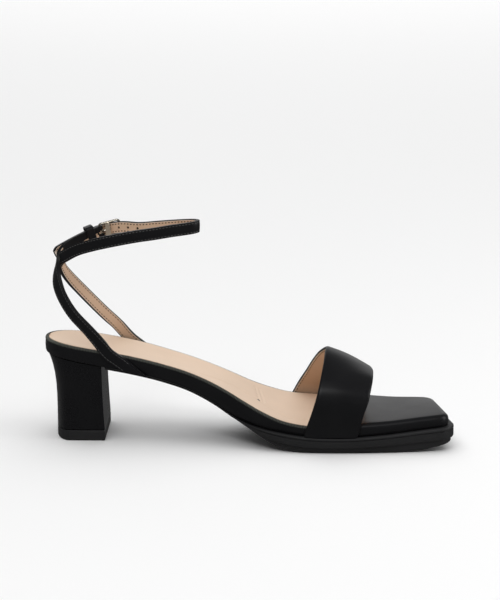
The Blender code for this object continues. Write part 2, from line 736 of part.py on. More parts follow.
def rod(name, start, end, radius, finish, sides=12):
    """A capped cylinder between two points."""
    start, end = Vector(start), Vector(end)
    work = bmesh.new()
    bmesh.ops.create_cone(work, cap_ends=True, segments=sides, radius1=radius, radius2=radius,
                          depth=(end - start).length)
    turn = UP.rotation_difference((end - start).normalized()).to_matrix().to_4x4()
    bmesh.ops.transform(work, matrix=Matrix.Translation((start + end) / 2) @ turn, verts=work.verts)
    mesh = bpy.data.meshes.new(name)
    work.to_mesh(mesh)
    work.free()
    mesh.materials.append(finish)
    item = bpy.data.objects.new(name, mesh)
    bpy.data.collections[COLLECTION].objects.link(item)
    return item


def long_strap_path():
    """The long strap: lateral root, behind the ankle, round the front, through the buckle, tail."""
    hinge, forward, outward, _ = buckle_frame_axes()
    points = strap_root("lateral", LONG_STRAP_ROOT) + ankle_points(LONG_STRAP, LONG_STRAP_ROOT)
    lay = STRAP_THICKNESS / 2 + CLEARANCE
    end_bar = hinge + forward * BUCKLE_LENGTH
    inside = end_bar + forward * BUCKLE_WIRE - outward * END_BAR_PASS * (BUCKLE_WIRE + lay)
    over_eye = hinge + outward * EYE_PASS * (eye_radius() + lay)
    keeper = keeper_middle() + outward * (STRAP_THICKNESS + 2 * CLEARANCE)
    points += [tuple(inside), tuple(over_eye), tuple(keeper)]
    return points + ankle_points(TAIL, LONG_STRAP_ROOT)


def eye_radius():
    """Outer radius of the strap's end where it is folded round the hinge bar."""
    return BUCKLE_WIRE + CLEARANCE + 0.5 * STRAP_THICKNESS


def buckle_strap_path():
    """The short strap: medial root, behind the ankle outside the long one, to the hinge bar."""
    hinge = buckle_frame_axes()[0]
    return (strap_root("medial", BUCKLE_STRAP_ROOT) + ankle_points(BUCKLE_STRAP, BUCKLE_STRAP_ROOT)
            + [tuple(hinge)])


def keeper_middle():
    """Middle of the short strap inside the keeper."""
    path = smooth_path(buckle_strap_path(), 0.001)
    gaps = np.linalg.norm(path[:, :3] - path[-1, :3], axis=1)
    return Vector(path[int(np.argmax(gaps < KEEPER_AT)), :3])


def make_ankle_strap(leather):
    """Both narrow straps, joined where they cross behind the ankle."""
    hinge, _, _, upward = buckle_frame_axes()
    short_path = smooth_path(buckle_strap_path(), 0.0030)
    item = ribbon("ankle_strap", short_path, 1.0, leather)
    long_path = smooth_path(long_strap_path(), 0.0028)
    combine(item, ribbon("long_strap_solid", long_path, -1.0, leather, tip=True), "UNION")
    half = upward * (STRAP_WIDTH / 2)
    combine(item, rod("folded_eye", hinge - half, hinge + half, eye_radius(), leather, 20), "UNION")
    reach = upward * STRAP_WIDTH
    combine(item, rod("eye_hole", hinge - reach, hinge + reach, BUCKLE_WIRE + CLEARANCE, leather, 16),
            "DIFFERENCE")
    slot = upward * (PRONG_EYE / 2 + CLEARANCE)
    combine(item, rod("eye_slot", hinge - slot, hinge + slot, SLOT_REACH * eye_radius(), leather, 20),
            "DIFFERENCE")
    start, end = prong_ends()
    combine(item, rod("prong_hole", start, end, PRONG_WIRE + CLEARANCE, leather, 12), "DIFFERENCE")
    combine(item, root_trim(leather), "DIFFERENCE")
    return item


def root_trim(finish):
    """Cutter that ends both straps level with the footbed's lower corner."""
    reach = 3 * STRAP_THICKNESS
    layers = (
        (lambda x: reach + 0.0 * x, underside),
        (lambda x: reach + 0.0 * x, lambda x: underside(x) - 2 * STRAP_WIDTH),
    )
    return layered("root_trim", layers, finish, np.linspace(0, 1, 16),
                   start_x=along_x(BUCKLE_STRAP_ROOT - 0.08), end_x=along_x(LONG_STRAP_ROOT + 0.10))


def prong_ends():
    """The prong runs from the hinge bar through the strap to the end bar's outer side."""
    hinge, forward, outward, _ = buckle_frame_axes()
    start = hinge + outward * (BUCKLE_WIRE + CLEARANCE + PRONG_WALL / 2)
    over_bar = outward * (BUCKLE_WIRE + CLEARANCE + PRONG_WIRE)
    end = hinge + forward * (BUCKLE_LENGTH + 1.5 * BUCKLE_WIRE) + over_bar
    return start, end


def make_buckle(metal):
    """Frame of round wire with hinge bar, centre bar and end bar."""
    hinge, forward, outward, upward = buckle_frame_axes()
    half = upward * (STRAP_WIDTH / 2 + CLEARANCE + BUCKLE_WIRE)
    end = hinge + forward * BUCKLE_LENGTH
    corners = [hinge - half, end - half, end + half, hinge + half]
    curve = bpy.data.curves.new("buckle_wire", "CURVE")
    curve.dimensions = "3D"
    curve.bevel_depth = BUCKLE_WIRE
    curve.bevel_resolution = 2
    line = curve.splines.new("POLY")
    points = []
    for k, corner in enumerate(corners):
        before, after = corners[k - 1], corners[(k + 1) % 4]
        flat = [((p - hinge).dot(forward), (p - hinge).dot(upward)) for p in (before, corner, after)]
        for u, v in fillet(*flat, 2.0 * BUCKLE_WIRE, 5):
            points.append(hinge + forward * float(u) + upward * float(v))
    line.points.add(len(points) - 1)
    for slot, place in zip(line.points, points):
        slot.co = (*place, 1.0)
    line.use_cyclic_u = True
    wire = bpy.data.objects.new("buckle_wire", curve)
    bpy.data.collections[COLLECTION].objects.link(wire)
    bpy.context.view_layer.update()
    mesh = bpy.data.meshes.new_from_object(wire.evaluated_get(bpy.context.evaluated_depsgraph_get()))
    bpy.data.objects.remove(wire)
    mesh.materials.clear()
    mesh.materials.append(metal)
    item = bpy.data.objects.new("buckle_frame", mesh)
    bpy.data.collections[COLLECTION].objects.link(item)
    finish_mesh(item)
    bar = hinge + forward * CENTRE_BAR - outward * CENTRE_BAR_BOW
    combine(item, rod("centre_bar", bar - half, bar + half, BUCKLE_WIRE, metal, 12), "UNION")
    return item


def make_prong(metal):
    """Pin that pivots on the hinge bar, in the slot of the strap's end, and rests on the end bar."""
    hinge, _, _, upward = buckle_frame_axes()
    half = upward * (PRONG_EYE / 2)
    item = rod("buckle_prong", hinge - half, hinge + half, BUCKLE_WIRE + CLEARANCE + PRONG_WALL, metal, 18)
    start, end = prong_ends()
    combine(item, rod("prong_pin", start, end, PRONG_WIRE, metal, 10), "UNION")
    combine(item, rod("pivot_hole", hinge - half * 2, hinge + half * 2, BUCKLE_WIRE + CLEARANCE, metal, 14),
            "DIFFERENCE")
    return item


def make_keeper(leather):
    """Leather loop that holds the tail against the short strap."""
    path = smooth_path(buckle_strap_path(), 0.001)[:, :3]
    centre = keeper_middle()
    k = int(np.argmin(np.linalg.norm(path - np.array(centre), axis=1)))
    forward = Vector(path[k + 3] - path[k - 3]).normalized()
    outward = forward.cross(UP).normalized() * -1
    upward = outward.cross(forward).normalized() * -1
    inner = STRAP_THICKNESS / 2 + 2 * CLEARANCE
    depth = STRAP_THICKNESS * 1.5 + 5 * CLEARANCE
    tall = STRAP_WIDTH / 2 + 3 * CLEARANCE
    corners = ((-inner, -tall), (depth, -tall), (depth, tall), (-inner, tall))
    points = []
    for step in (-KEEPER_LENGTH / 2, KEEPER_LENGTH / 2):
        for u, v in corners:
            points.append(centre + forward * step + outward * u + upward * v)
    faces = [(k, (k + 1) % 4, 4 + (k + 1) % 4, 4 + k) for k in range(4)]
    item = new_object("strap_keeper", points, faces, leather)
    modifier(item, "SOLIDIFY", thickness=KEEPER_WALL, offset=1.0, use_even_offset=True)
    return item


def clear_scene():
    """Remove what a new file holds."""
    for item in list(bpy.data.objects):
        bpy.data.objects.remove(item)
    for name in (COLLECTION, "cutters"):
        made = bpy.data.collections.new(name)
        bpy.context.scene.collection.children.link(made)


def build():
    """Make every piece of the shoe."""
    clear_scene()
    leather = material("black_leather", (0.012, 0.012, 0.013), 0.38)
    lining = material("tan_lining", (0.72, 0.54, 0.40), 0.62)
    rubber = material("black_rubber", (0.018, 0.018, 0.019), 0.55)
    heel_leather = material("heel_leather", (0.012, 0.012, 0.013), 0.30)
    metal = material("pale_metal", (0.80, 0.74, 0.62), 0.25, 1.0)
    make_footbed(leather)
    sock_slab("insole_sock", lining, 0.0, 0.0)
    make_outsole(rubber)
    make_heel_block(heel_leather)
    make_top_piece(rubber)
    make_vamp_strap(leather)
    make_ankle_strap(leather)
    make_buckle(metal)
    make_prong(metal)
    make_keeper(leather)


build()
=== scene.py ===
# %% [markdown]
# # A block heel sandal in black leather
# This is a left shoe, seen from the inner side of the foot. Its solids come ready made and stay the
# measure of everything here: +X runs from the heel to the toe, +Z is up, and -Y is the inner side.
# This script dresses them. The rigid pieces keep their form and get a finish. The leather pieces are
# made again, each as the layers a shoemaker would cut, with their lining, edges and stitches.

# %% Load the shoe's solids
import math

import bmesh
import bpy
import numpy as np
from mathutils import Matrix, Vector


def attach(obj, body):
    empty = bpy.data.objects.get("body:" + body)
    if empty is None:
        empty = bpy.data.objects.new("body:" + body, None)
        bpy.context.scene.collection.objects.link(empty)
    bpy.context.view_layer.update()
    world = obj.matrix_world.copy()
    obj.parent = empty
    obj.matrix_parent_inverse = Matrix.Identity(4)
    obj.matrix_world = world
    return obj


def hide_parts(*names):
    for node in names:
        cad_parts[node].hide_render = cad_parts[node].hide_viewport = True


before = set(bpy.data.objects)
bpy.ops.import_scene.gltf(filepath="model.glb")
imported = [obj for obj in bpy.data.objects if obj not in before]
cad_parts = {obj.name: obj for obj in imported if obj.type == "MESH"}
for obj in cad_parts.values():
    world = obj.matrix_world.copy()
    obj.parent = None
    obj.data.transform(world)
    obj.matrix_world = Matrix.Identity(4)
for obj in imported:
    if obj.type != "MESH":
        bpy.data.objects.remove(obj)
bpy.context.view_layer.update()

print("solids:", sorted(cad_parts))

# %% [markdown]
# ## The camera
# The photograph was taken almost square to the shoe's inner side, a little above the floor and with a
# long lens. The camera comes first, because every later choice is judged through it.

# %% Put the camera where the photograph was taken
CAMERA_TURN = math.radians(4.0)
CAMERA_RISE = math.radians(12.5)
CAMERA_DISTANCE = 1.4
LENS_MM = 139.0
SENSOR_MM = 36.0
LOOKED_AT = Vector((0.0993, 0.0241, 0.0770))


def placed(name, data):
    """A new object in the scene, from its mesh, lamp or camera data."""
    item = bpy.data.objects.new(name, data)
    bpy.context.scene.collection.objects.link(item)
    return item


towards_camera = Vector((math.sin(CAMERA_TURN) * math.cos(CAMERA_RISE),
                         -math.cos(CAMERA_TURN) * math.cos(CAMERA_RISE),
                         math.sin(CAMERA_RISE)))
camera_data = bpy.data.cameras.new("camera")
camera_data.lens = LENS_MM
camera_data.sensor_width = SENSOR_MM
camera_data.clip_start = 0.05
camera = placed("camera", camera_data)
camera.location = LOOKED_AT + towards_camera * CAMERA_DISTANCE
camera.rotation_euler = towards_camera.to_track_quat("Z", "Y").to_euler()
bpy.context.scene.camera = camera
print("camera at", [round(v, 3) for v in camera.location])

# %% [markdown]
# ## The sizes of the shoe
# A shoe is drawn on a last, so its sizes depend on each other. The tables hold shares of a few named
# lengths, the same as in the solids, and a smooth curve runs through each column.

# %% Named sizes
FOOTBED_LENGTH = 0.242
BALL_WIDTH = 0.0775
SEAT_HEIGHT = 0.060
BALL_HEIGHT = 0.0158
TOE_RISE = 0.0048
TOE_LIFT = 0.0052
BAND_THICKNESS = 0.0096
RIM_ROUND = 0.0016
TOE_ROUND = 0.0034
TOE_SLANT = 0.0105
TOE_CORNER_MEDIAL = 0.0070
TOE_CORNER_LATERAL = 0.0120
SEAT_DISH = 0.0012
TOE_CROWN = 0.5
PAD_RISE = 0.0014
SOCK_THICKNESS = 0.0012
SOCK_MARGIN = 0.0020
LEDGE_WIDTH = 0.0026
SIDE_HEIGHT = 0.0064
GROOVE_DEPTH = 0.0005
TREAD_INSET = 0.0016
SHANK_THICKNESS = 0.0020
SEAT_SQUARE = 0.95
HEEL_LENGTH = 0.0299
HEEL_WIDTH = 0.0440
HEEL_TURN = math.radians(2.8)
SEAT_OVERHANG = 0.00635
VAMP_THICKNESS = 0.0022
VAMP_RISE_REAR = 0.0384
VAMP_RISE_FRONT = 0.0250
VAMP_SWELL = 0.0012
STRAP_WIDTH = 0.0072
STRAP_THICKNESS = 0.0020
ANKLE_LENGTH = 0.0830
ANKLE_BACK = -0.0125
ANKLE_WIDTH = 0.0360
ANKLE_HEIGHT = 0.1265
TIP_WIDTH = 0.72
BUCKLE_LENGTH = 0.0124
BUCKLE_WIRE = 0.0007
BUCKLE_SLOPE = 0.26
BUCKLE_TURN = 0.10
PRONG_WIRE = 0.00055
PRONG_WALL = 0.0006
PRONG_EYE = 0.0018
KEEPER_LENGTH = 0.0050
KEEPER_WALL = 0.0010
KEEPER_AT = 0.0070
END_BAR_PASS = 1.35
EYE_PASS = 1.05
SLOT_REACH = 1.25
CLEARANCE = 0.0003
FOOTBED_BACK = -(HEEL_LENGTH / 2 + SEAT_OVERHANG)
UP = Vector((0.0, 0.0, 1.0))

# %% Outline and side profile
FLANK_COLUMNS = ("along", "medial", "lateral")
FLANKS = (
    (0.114, 0.306, 0.262),
    (0.164, 0.310, 0.260),
    (0.222, 0.307, 0.246),
    (0.297, 0.305, 0.217),
    (0.364, 0.315, 0.206),
    (0.430, 0.338, 0.233),
    (0.493, 0.381, 0.299),
    (0.547, 0.434, 0.382),
    (0.597, 0.472, 0.454),
    (0.651, 0.494, 0.500),
    (0.718, 0.493, 0.491),
    (0.789, 0.475, 0.434),
    (0.860, 0.445, 0.342),
    (0.922, 0.412, 0.266),
)
TOE_CORNERS = {"medial": 0.369, "lateral": 0.224}
SOCK_END = 0.752
TOE_PAD = (0.745, 0.800)
PROFILE_COLUMNS = ("along", "drop", "toe", "band", "side", "ledge", "shank", "spring")
PROFILE = (
    (0.000, 1.000, 0.00, 0.94, 0.12, -1.15, 1.00, 0.00),
    (0.072, 0.950, 0.00, 0.94, 0.12, -1.15, 1.00, 0.00),
    (0.147, 0.889, 0.00, 0.98, 0.12, -1.15, 1.00, 0.00),
    (0.222, 0.819, 0.00, 1.00, 0.12, -1.15, 1.00, 0.00),
    (0.297, 0.722, 0.00, 1.00, 0.12, -1.15, 1.00, 0.00),
    (0.364, 0.615, 0.00, 1.06, 0.12, -1.15, 1.00, 0.00),
    (0.430, 0.466, 0.00, 1.21, 0.12, -0.85, 1.00, 0.00),
    (0.464, 0.371, 0.00, 1.27, 0.16, -0.25, 1.00, 0.00),
    (0.497, 0.272, 0.00, 1.22, 0.25, 0.45, 1.00, 0.00),
    (0.547, 0.140, 0.00, 0.95, 0.64, 0.92, 0.66, 0.00),
    (0.589, 0.054, 0.00, 0.70, 0.88, 1.00, 0.24, 0.00),
    (0.640, 0.004, 0.00, 0.60, 0.95, 1.00, 0.00, 0.00),
    (0.735, 0.000, 0.00, 0.65, 0.95, 1.00, 0.00, 0.00),
    (0.845, 0.000, 0.22, 0.60, 1.00, 1.00, 0.00, 0.00),
    (0.930, 0.000, 0.66, 0.58, 1.06, 1.12, 0.00, 0.25),
    (1.020, 0.000, 1.08, 0.56, 1.10, 1.28, 0.00, 1.15),
)

# %% The toe strap and the ankle straps
VAMP_COLUMNS = ("rear_out", "rear_up", "rear_along", "front_out", "front_up", "front_along")
VAMP = (
    (-1.00, -1.00, 0.647, -1.00, -1.00, 0.776),
    (-1.00, 0.00, 0.653, -1.00, 0.00, 0.782),
    (-1.01, 0.21, 0.664, -1.00, 0.28, 0.790),
    (-0.99, 0.42, 0.674, -0.965, 0.545, 0.800),
    (-0.915, 0.595, 0.681, -0.875, 0.755, 0.805),
    (-0.74, 0.76, 0.686, -0.625, 0.94, 0.809),
    (-0.48, 0.91, 0.690, -0.31, 1.00, 0.808),
    (-0.21, 0.99, 0.691, -0.08, 0.985, 0.804),
    (0.02, 0.975, 0.690, 0.22, 0.915, 0.797),
    (0.28, 0.84, 0.672, 0.49, 0.77, 0.784),
    (0.55, 0.63, 0.654, 0.72, 0.545, 0.769),
    (0.79, 0.41, 0.638, 0.905, 0.27, 0.755),
    (0.95, 0.19, 0.620, 0.985, 0.12, 0.748),
    (1.00, 0.00, 0.605, 1.00, 0.00, 0.740),
    (1.00, -1.00, 0.594, 1.00, -1.00, 0.730),
)
ANKLE_COLUMNS = ("along", "out", "up", "lean")
HINGE_BAR = (0.271, 0.455, 0.903, 0)
BUCKLE_STRAP_ROOT = 0.229
BUCKLE_STRAP = (
    (0.324, -0.717, 0.115, -8),
    (0.239, -0.681, 0.218, -12),
    (0.131, -0.569, 0.327, -6),
    (0.065, -0.458, 0.415, 4),
    (0.018, -0.333, 0.496, 14),
    (-0.008, -0.222, 0.577, 24),
    (-0.014, -0.097, 0.661, 24),
    (-0.001, 0.028, 0.745, 12),
    (0.036, 0.139, 0.791, 4),
    (0.102, 0.267, 0.834, 0),
    (0.187, 0.389, 0.872, 0),
)
LONG_STRAP_ROOT = 0.262
LONG_STRAP = (
    (0.378, 0.600, 0.150, 10),
    (0.288, 0.556, 0.245, 16),
    (0.128, 0.411, 0.443, 18),
    (0.054, 0.292, 0.549, 14),
    (0.018, 0.167, 0.623, 8),
    (0.004, 0.010, 0.705, 0),
    (0.016, -0.069, 0.740, 0),
    (0.045, -0.139, 0.765, 0),
    (0.128, -0.250, 0.820, 0),
    (0.210, -0.347, 0.857, 0),
    (0.318, -0.439, 0.895, 0),
    (0.448, -0.472, 0.929, 0),
    (0.572, -0.430, 0.952, 0),
    (0.698, -0.347, 0.967, 0),
    (0.820, -0.250, 0.983, 0),
    (0.910, -0.161, 0.991, 0),
    (0.972, -0.089, 0.998, 0),
    (0.998, 0.000, 1.003, 0),
    (0.972, 0.083, 1.002, 0),
    (0.889, 0.161, 0.993, 0),
    (0.712, 0.258, 0.970, 0),
    (0.560, 0.330, 0.950, 0),
)
TAIL = (
    (-0.024, 0.270, 0.760, 0),
    (-0.045, 0.222, 0.742, 0),
)
ROOT = (
    (0.024, -1.35),
    (0.003, -1.00),
    (-0.031, -0.46),
    (-0.063, 0.00),
)

# %% Curves through the tables
def column(rows, names, name):
    """One named column of a table."""
    return np.array([row[names.index(name)] for row in rows])


def smooth(at, places, values):
    """Cubic through a table's values, with slopes from each row's neighbours."""
    places = np.asarray(places, float)
    values = np.asarray(values, float)
    slopes = np.gradient(values, places)
    at = np.clip(at, places[0], places[-1])
    row = np.clip(np.searchsorted(places, at) - 1, 0, len(places) - 2)
    step = places[row + 1] - places[row]
    s = (at - places[row]) / step
    start = (1 + 2 * s) * (1 - s) ** 2 * values[row] + s * (1 - s) ** 2 * step * slopes[row]
    end = s * s * (3 - 2 * s) * values[row + 1] + s * s * (s - 1) * step * slopes[row + 1]
    return start + end


def run_of(points):
    """Length along a line up to each of its points."""
    return np.concatenate([[0], np.cumsum(np.linalg.norm(np.diff(points[:, :3], axis=0), axis=1))])


def along_x(share):
    """Place along X of a share of the footbed's length."""
    return FOOTBED_BACK + share * FOOTBED_LENGTH


def look_up(rows, names, name, x):
    """A table's column at a place along X, which the first column gives as a share."""
    share = (np.asarray(x, float) - FOOTBED_BACK) / FOOTBED_LENGTH
    return smooth(share, column(rows, names, "along"), column(rows, names, name))


def profile(name, x):
    """A column of the side profile at a place along X."""
    return look_up(PROFILE, PROFILE_COLUMNS, name, x)


def flank(side, x):
    """Half width of the footbed at a place along X, where the outline is neither seat nor toe."""
    return BALL_WIDTH * look_up(FLANKS, FLANK_COLUMNS, side, x)


def deck(x):
    """Height of the footbed's rim."""
    return BALL_HEIGHT + (SEAT_HEIGHT - BALL_HEIGHT) * profile("drop", x) + TOE_RISE * profile("toe", x)


def band(x):
    """Height of the footbed's wrapped edge."""
    return BAND_THICKNESS * profile("band", x)


def underside(x):
    """Height of the footbed's flat underside."""
    return deck(x) - band(x)


def tread(x):
    """Height of the outsole's lowest face, which stands on the floor at the ball."""
    shank = underside(x) - CLEARANCE - SHANK_THICKNESS
    return np.maximum(shank * profile("shank", x), 0.0) + TOE_LIFT * np.maximum(profile("spring", x), 0.0)

# %% The outline of the footbed
def fillet(start, corner, end, radius, count):
    """Points of an arc that rounds a corner between two straight runs."""
    start, corner, end = (np.array(p, float) for p in (start, corner, end))
    back = (start - corner) / np.linalg.norm(start - corner)
    ahead = (end - corner) / np.linalg.norm(end - corner)
    half = math.acos(float(np.clip(back @ ahead, -1, 1))) / 2
    middle = (back + ahead) / np.linalg.norm(back + ahead)
    centre = corner + middle * radius / math.sin(half)
    first = corner + back * radius / math.tan(half) - centre
    last = corner + ahead * radius / math.tan(half) - centre
    turn = math.pi - 2 * half
    steps = np.linspace(0, 1, count)[:, None]
    return centre + (first * np.sin((1 - steps) * turn) + last * np.sin(steps * turn)) / math.sin(turn)


def footbed_side(side):
    """Outline of one side of the footbed, from the back of the seat to the flat front of the toe."""
    sign = -1 if side == "medial" else 1
    places = column(FLANKS, FLANK_COLUMNS, "along")
    shoulder = along_x(places[0])
    widths = {name: float(flank(name, shoulder)) for name in ("medial", "lateral")}
    middle = (widths["lateral"] - widths["medial"]) / 2
    half = (widths["lateral"] + widths["medial"]) / 2
    angles = np.linspace(0, math.pi / 2, 12)
    seat = np.stack([shoulder - (shoulder - FOOTBED_BACK) * np.cos(angles) ** SEAT_SQUARE,
                     middle + sign * half * np.sin(angles) ** SEAT_SQUARE], axis=1)
    xs = np.linspace(shoulder, along_x(places[-1]), 60)[1:]
    straight = np.stack([xs, sign * flank(side, xs)], axis=1)
    tips = {"medial": (along_x(1.0), -TOE_CORNERS["medial"] * BALL_WIDTH),
            "lateral": (along_x(1.0) - TOE_SLANT, TOE_CORNERS["lateral"] * BALL_WIDTH)}
    front = (np.array(tips["medial"]) + np.array(tips["lateral"])) / 2
    radius = TOE_CORNER_MEDIAL if side == "medial" else TOE_CORNER_LATERAL
    corner = fillet(straight[-1], tips[side], front, radius, 10)
    return np.concatenate([seat, straight, corner])


SIDES = {name: footbed_side(name) for name in ("medial", "lateral")}


def offset_side(side, distance):
    """One side of the outline moved outwards in plan. The two ends stay on the same line as before."""
    points = SIDES[side]
    sign = -1 if side == "medial" else 1
    run = run_of(points)
    ahead = np.gradient(points, run, axis=0)
    ahead[0] = (0, sign)
    ahead[-1] = (SIDES["lateral"][-1] - SIDES["medial"][-1]) * -sign
    ahead /= np.linalg.norm(ahead, axis=1)[:, None]
    out = np.stack([ahead[:, 1], -ahead[:, 0]], axis=1) * -sign
    distances = distance(points[:, 0]) if callable(distance) else distance
    return points + out * np.reshape(distances, (-1, 1))


def spread(points, shares):
    """Points at the given shares of a line's length."""
    run = run_of(points)
    at = np.asarray(shares) * run[-1]
    return np.stack([np.interp(at, run, points[:, axis]) for axis in range(points.shape[1])], axis=1)


def cut_line(points, start_x, end_x):
    """The stretch of a side's outline between two places along X."""
    keep = points
    if start_x is not None:
        first = int(np.argmax(points[:, 0] > start_x))
        low, high = points[first - 1], points[first]
        share = (start_x - low[0]) / (high[0] - low[0])
        keep = np.concatenate([(low + (high - low) * share)[None], points[first:]])
    if end_x is not None:
        last = int(np.argmax(keep[:, 0] > end_x))
        low, high = keep[last - 1], keep[last]
        share = (end_x - low[0]) / (high[0] - low[0])
        keep = np.concatenate([keep[:last], (low + (high - low) * share)[None]])
    return keep


def pairs(distance, shares, start_x=None, end_x=None):
    """Matching points on the medial and lateral outline, moved outwards by a distance."""
    lines = []
    for side in ("medial", "lateral"):
        line = cut_line(offset_side(side, distance), start_x, end_x)
        lines.append(spread(line, shares))
    return lines


def toe_share(x):
    """0 behind the toe strap, 1 on the padded toe in front of it."""
    start, full = (along_x(share) for share in TOE_PAD)
    s = np.clip((np.asarray(x, float) - start) / (full - start), 0, 1)
    return s * s * (3 - 2 * s)


def rim_round(x):
    """Rounding of the footbed's upper edge, softer at the toe."""
    return RIM_ROUND + (TOE_ROUND - RIM_ROUND) * toe_share(x)


def padded_deck(x):
    """Rim height with the padding of the toe."""
    return deck(x) + PAD_RISE * toe_share(x)


def dish(x, across):
    """How far the footbed lies below its rim: dished for the foot, crowned at the padded toe."""
    return SEAT_DISH * (1 - (1 + TOE_CROWN) * toe_share(x)) * (1 - across * across)


print("footbed from", round(1000 * FOOTBED_BACK, 1), "to", round(1000 * along_x(1.0), 1), "mm along X")

# %% [markdown]
# ## Finishes
# Leather, rubber and metal differ in small things: how fine the grain is, how much the gloss wanders,
# how the colour shifts. Each finish is a small net of nodes. The class below lets the sums in such a
# net be written as ordinary arithmetic, so a recipe reads like a recipe.

# %% Arithmetic on sockets
class Value:
    """A node's output that can be added, subtracted and multiplied."""

    def __init__(self, net, socket):
        self.net = net
        self.socket = socket

    def maths(self, operation, first, second):
        return self.net.node("ShaderNodeMath", {"operation": operation}, {0: first, 1: second})

    def __add__(self, other):
        return self.maths("ADD", self, other)

    def __radd__(self, other):
        return self.maths("ADD", other, self)

    def __sub__(self, other):
        return self.maths("SUBTRACT", self, other)

    def __mul__(self, other):
        return self.maths("MULTIPLY", self, other)

    def __rmul__(self, other):
        return self.maths("MULTIPLY", other, self)


class Net:
    """A tree of nodes, filled one node at a time."""

    def __init__(self, tree):
        self.tree = tree

    def node(self, kind, settings=None, inputs=None, output=0):
        made = self.tree.nodes.new(kind)
        for key, value in (settings or {}).items():
            setattr(made, key, value)
        for key, value in (inputs or {}).items():
            if isinstance(value, Value):
                self.tree.links.new(value.socket, made.inputs[key])
            else:
                made.inputs[key].default_value = value
        return Value(self, made.outputs[output])


class Finish(Net):
    """A material with one Principled shader."""

    def __init__(self, name, **constants):
        self.material = bpy.data.materials.new(name)
        self.material.use_nodes = True
        super().__init__(self.material.node_tree)
        self.shader = self.tree.nodes["Principled BSDF"]
        for key, value in constants.items():
            self.shader.inputs[key.replace("_", " ")].default_value = value

    def feed(self, name, value):
        self.tree.links.new(value.socket, self.shader.inputs[name])

    def noise(self, scale, detail=2.0):
        """Soft blotches, from 0 to 1, at a scale in blotches for each metre."""
        place = self.node("ShaderNodeTexCoord", output="Object")
        return self.node("ShaderNodeTexNoise", inputs={"Vector": place, "Scale": scale, "Detail": detail})

    def pebbles(self, scale):
        """The net of creases between the pebbles of a grain."""
        place = self.node("ShaderNodeTexCoord", output="Object")
        return self.node("ShaderNodeTexVoronoi", {"feature": "SMOOTH_F1"},
                         {"Vector": place, "Scale": scale}, "Distance")

    def between(self, dark, light, share):
        """A colour that moves from one to the other as the share goes from 0 to 1."""
        return self.node("ShaderNodeMix", {"data_type": "RGBA"},
                         {0: share, 6: (*dark, 1.0), 7: (*light, 1.0)}, 2)

    def relief(self, height, strength, depth):
        given = {"Height": height, "Strength": strength, "Distance": depth}
        self.feed("Normal", self.node("ShaderNodeBump", inputs=given))


# %% [markdown]
# ### Leather
# Smooth black calf leather is satin, not matt: its fine grain breaks the light into a soft sheen, and
# the sheen wanders a little where the skin was stretched. The lining is thin tan leather, matt and
# slightly uneven in colour. One recipe with different numbers gives both.

# %% Leather finishes
BLOTCHES = 60.0
GRAIN_DEPTH = 0.00008


def leather(name, dark, light, roughness, wander, grain, strength, shine=0.3):
    """Grained leather. The grain is given as pebbles for each metre, and creases are GRAIN_DEPTH deep."""
    skin = Finish(name, Specular_IOR_Level=shine)
    clouds = skin.noise(BLOTCHES)
    fine = skin.noise(grain, 3.0)
    skin.feed("Base Color", skin.between(dark, light, clouds * 0.7 + fine * 0.3))
    skin.feed("Roughness", roughness + wander * (clouds - 0.5) + 0.08 * (fine - 0.5))
    skin.relief(skin.pebbles(grain) * 0.7 + fine * 0.3, strength, GRAIN_DEPTH)
    return skin.material


black_leather = leather("black calf leather", (0.004, 0.004, 0.005), (0.009, 0.009, 0.010),
                        roughness=0.36, wander=0.10, grain=1500.0, strength=0.22)
heel_leather = leather("black leather on the heel", (0.004, 0.004, 0.005), (0.008, 0.008, 0.009),
                       roughness=0.28, wander=0.08, grain=1500.0, strength=0.14)
sock_leather = leather("tan sock leather", (0.68, 0.52, 0.39), (0.78, 0.60, 0.46),
                       roughness=0.55, wander=0.08, grain=1300.0, strength=0.16, shine=0.4)
lining_leather = leather("tan strap lining", (0.58, 0.39, 0.26), (0.72, 0.51, 0.36),
                         roughness=0.60, wander=0.08, grain=1100.0, strength=0.25)
raw_edge = leather("raw edge of the lining", (0.74, 0.62, 0.52), (0.82, 0.71, 0.61),
                   roughness=0.70, wander=0.05, grain=3000.0, strength=0.20)
# The notched edge is black leather; its grey colours are painted highlight on the rib tops.
notched_edge_highlight_leather = leather("notched black edge with painted highlight", (0.045, 0.048, 0.040), (0.120, 0.126, 0.106),
                       roughness=0.42, wander=0.10, grain=2500.0, strength=0.20, shine=0.5)

# %% [markdown]
# ### Rubber, metal and thread
# The sole is moulded rubber with a fine matt skin. The buckle is pale gold plate, nearly a mirror
# and brushed on its bar, with faint handling marks in its gloss. Thread is twisted, so it gets ridges.

# %% Rubber, metal and thread
def rubber(name):
    sole = Finish(name)
    cloud = sole.noise(45.0)
    speck = sole.noise(2600.0)
    sole.feed("Base Color", sole.between((0.011, 0.011, 0.012), (0.021, 0.021, 0.022), cloud))
    sole.feed("Roughness", 0.46 + 0.14 * cloud + 0.06 * speck)
    sole.relief(speck, 0.15, 0.00006)
    return sole.material


def plated_metal(name, roughness):
    plate = Finish(name, Metallic=1.0)
    marks = plate.noise(900.0, 4.0)
    plate.feed("Base Color", plate.between((0.80, 0.73, 0.60), (0.88, 0.82, 0.71), marks))
    plate.feed("Roughness", roughness + 0.16 * marks)
    plate.relief(marks, 0.05, 0.00003)
    return plate.material


def thread(name, colour):
    yarn = Finish(name)
    twist = yarn.noise(4000.0, 1.0)
    yarn.feed("Base Color", yarn.between(tuple(0.7 * c for c in colour), colour, twist))
    yarn.feed("Roughness", 0.55 + 0.2 * twist)
    yarn.relief(twist, 0.3, 0.00005)
    return yarn.material


sole_rubber = rubber("black sole rubber")
pale_gold = plated_metal("pale gold plate", 0.14)
brushed_gold = plated_metal("brushed pale gold", 0.50)
# The black thread is coloured grey: painted sheen of its stitches on the black straps.
black_thread_with_painted_sheen = thread("black thread, greyed as painted sheen", (0.110, 0.110, 0.108))
brown_thread = thread("brown thread", (0.042, 0.024, 0.017))

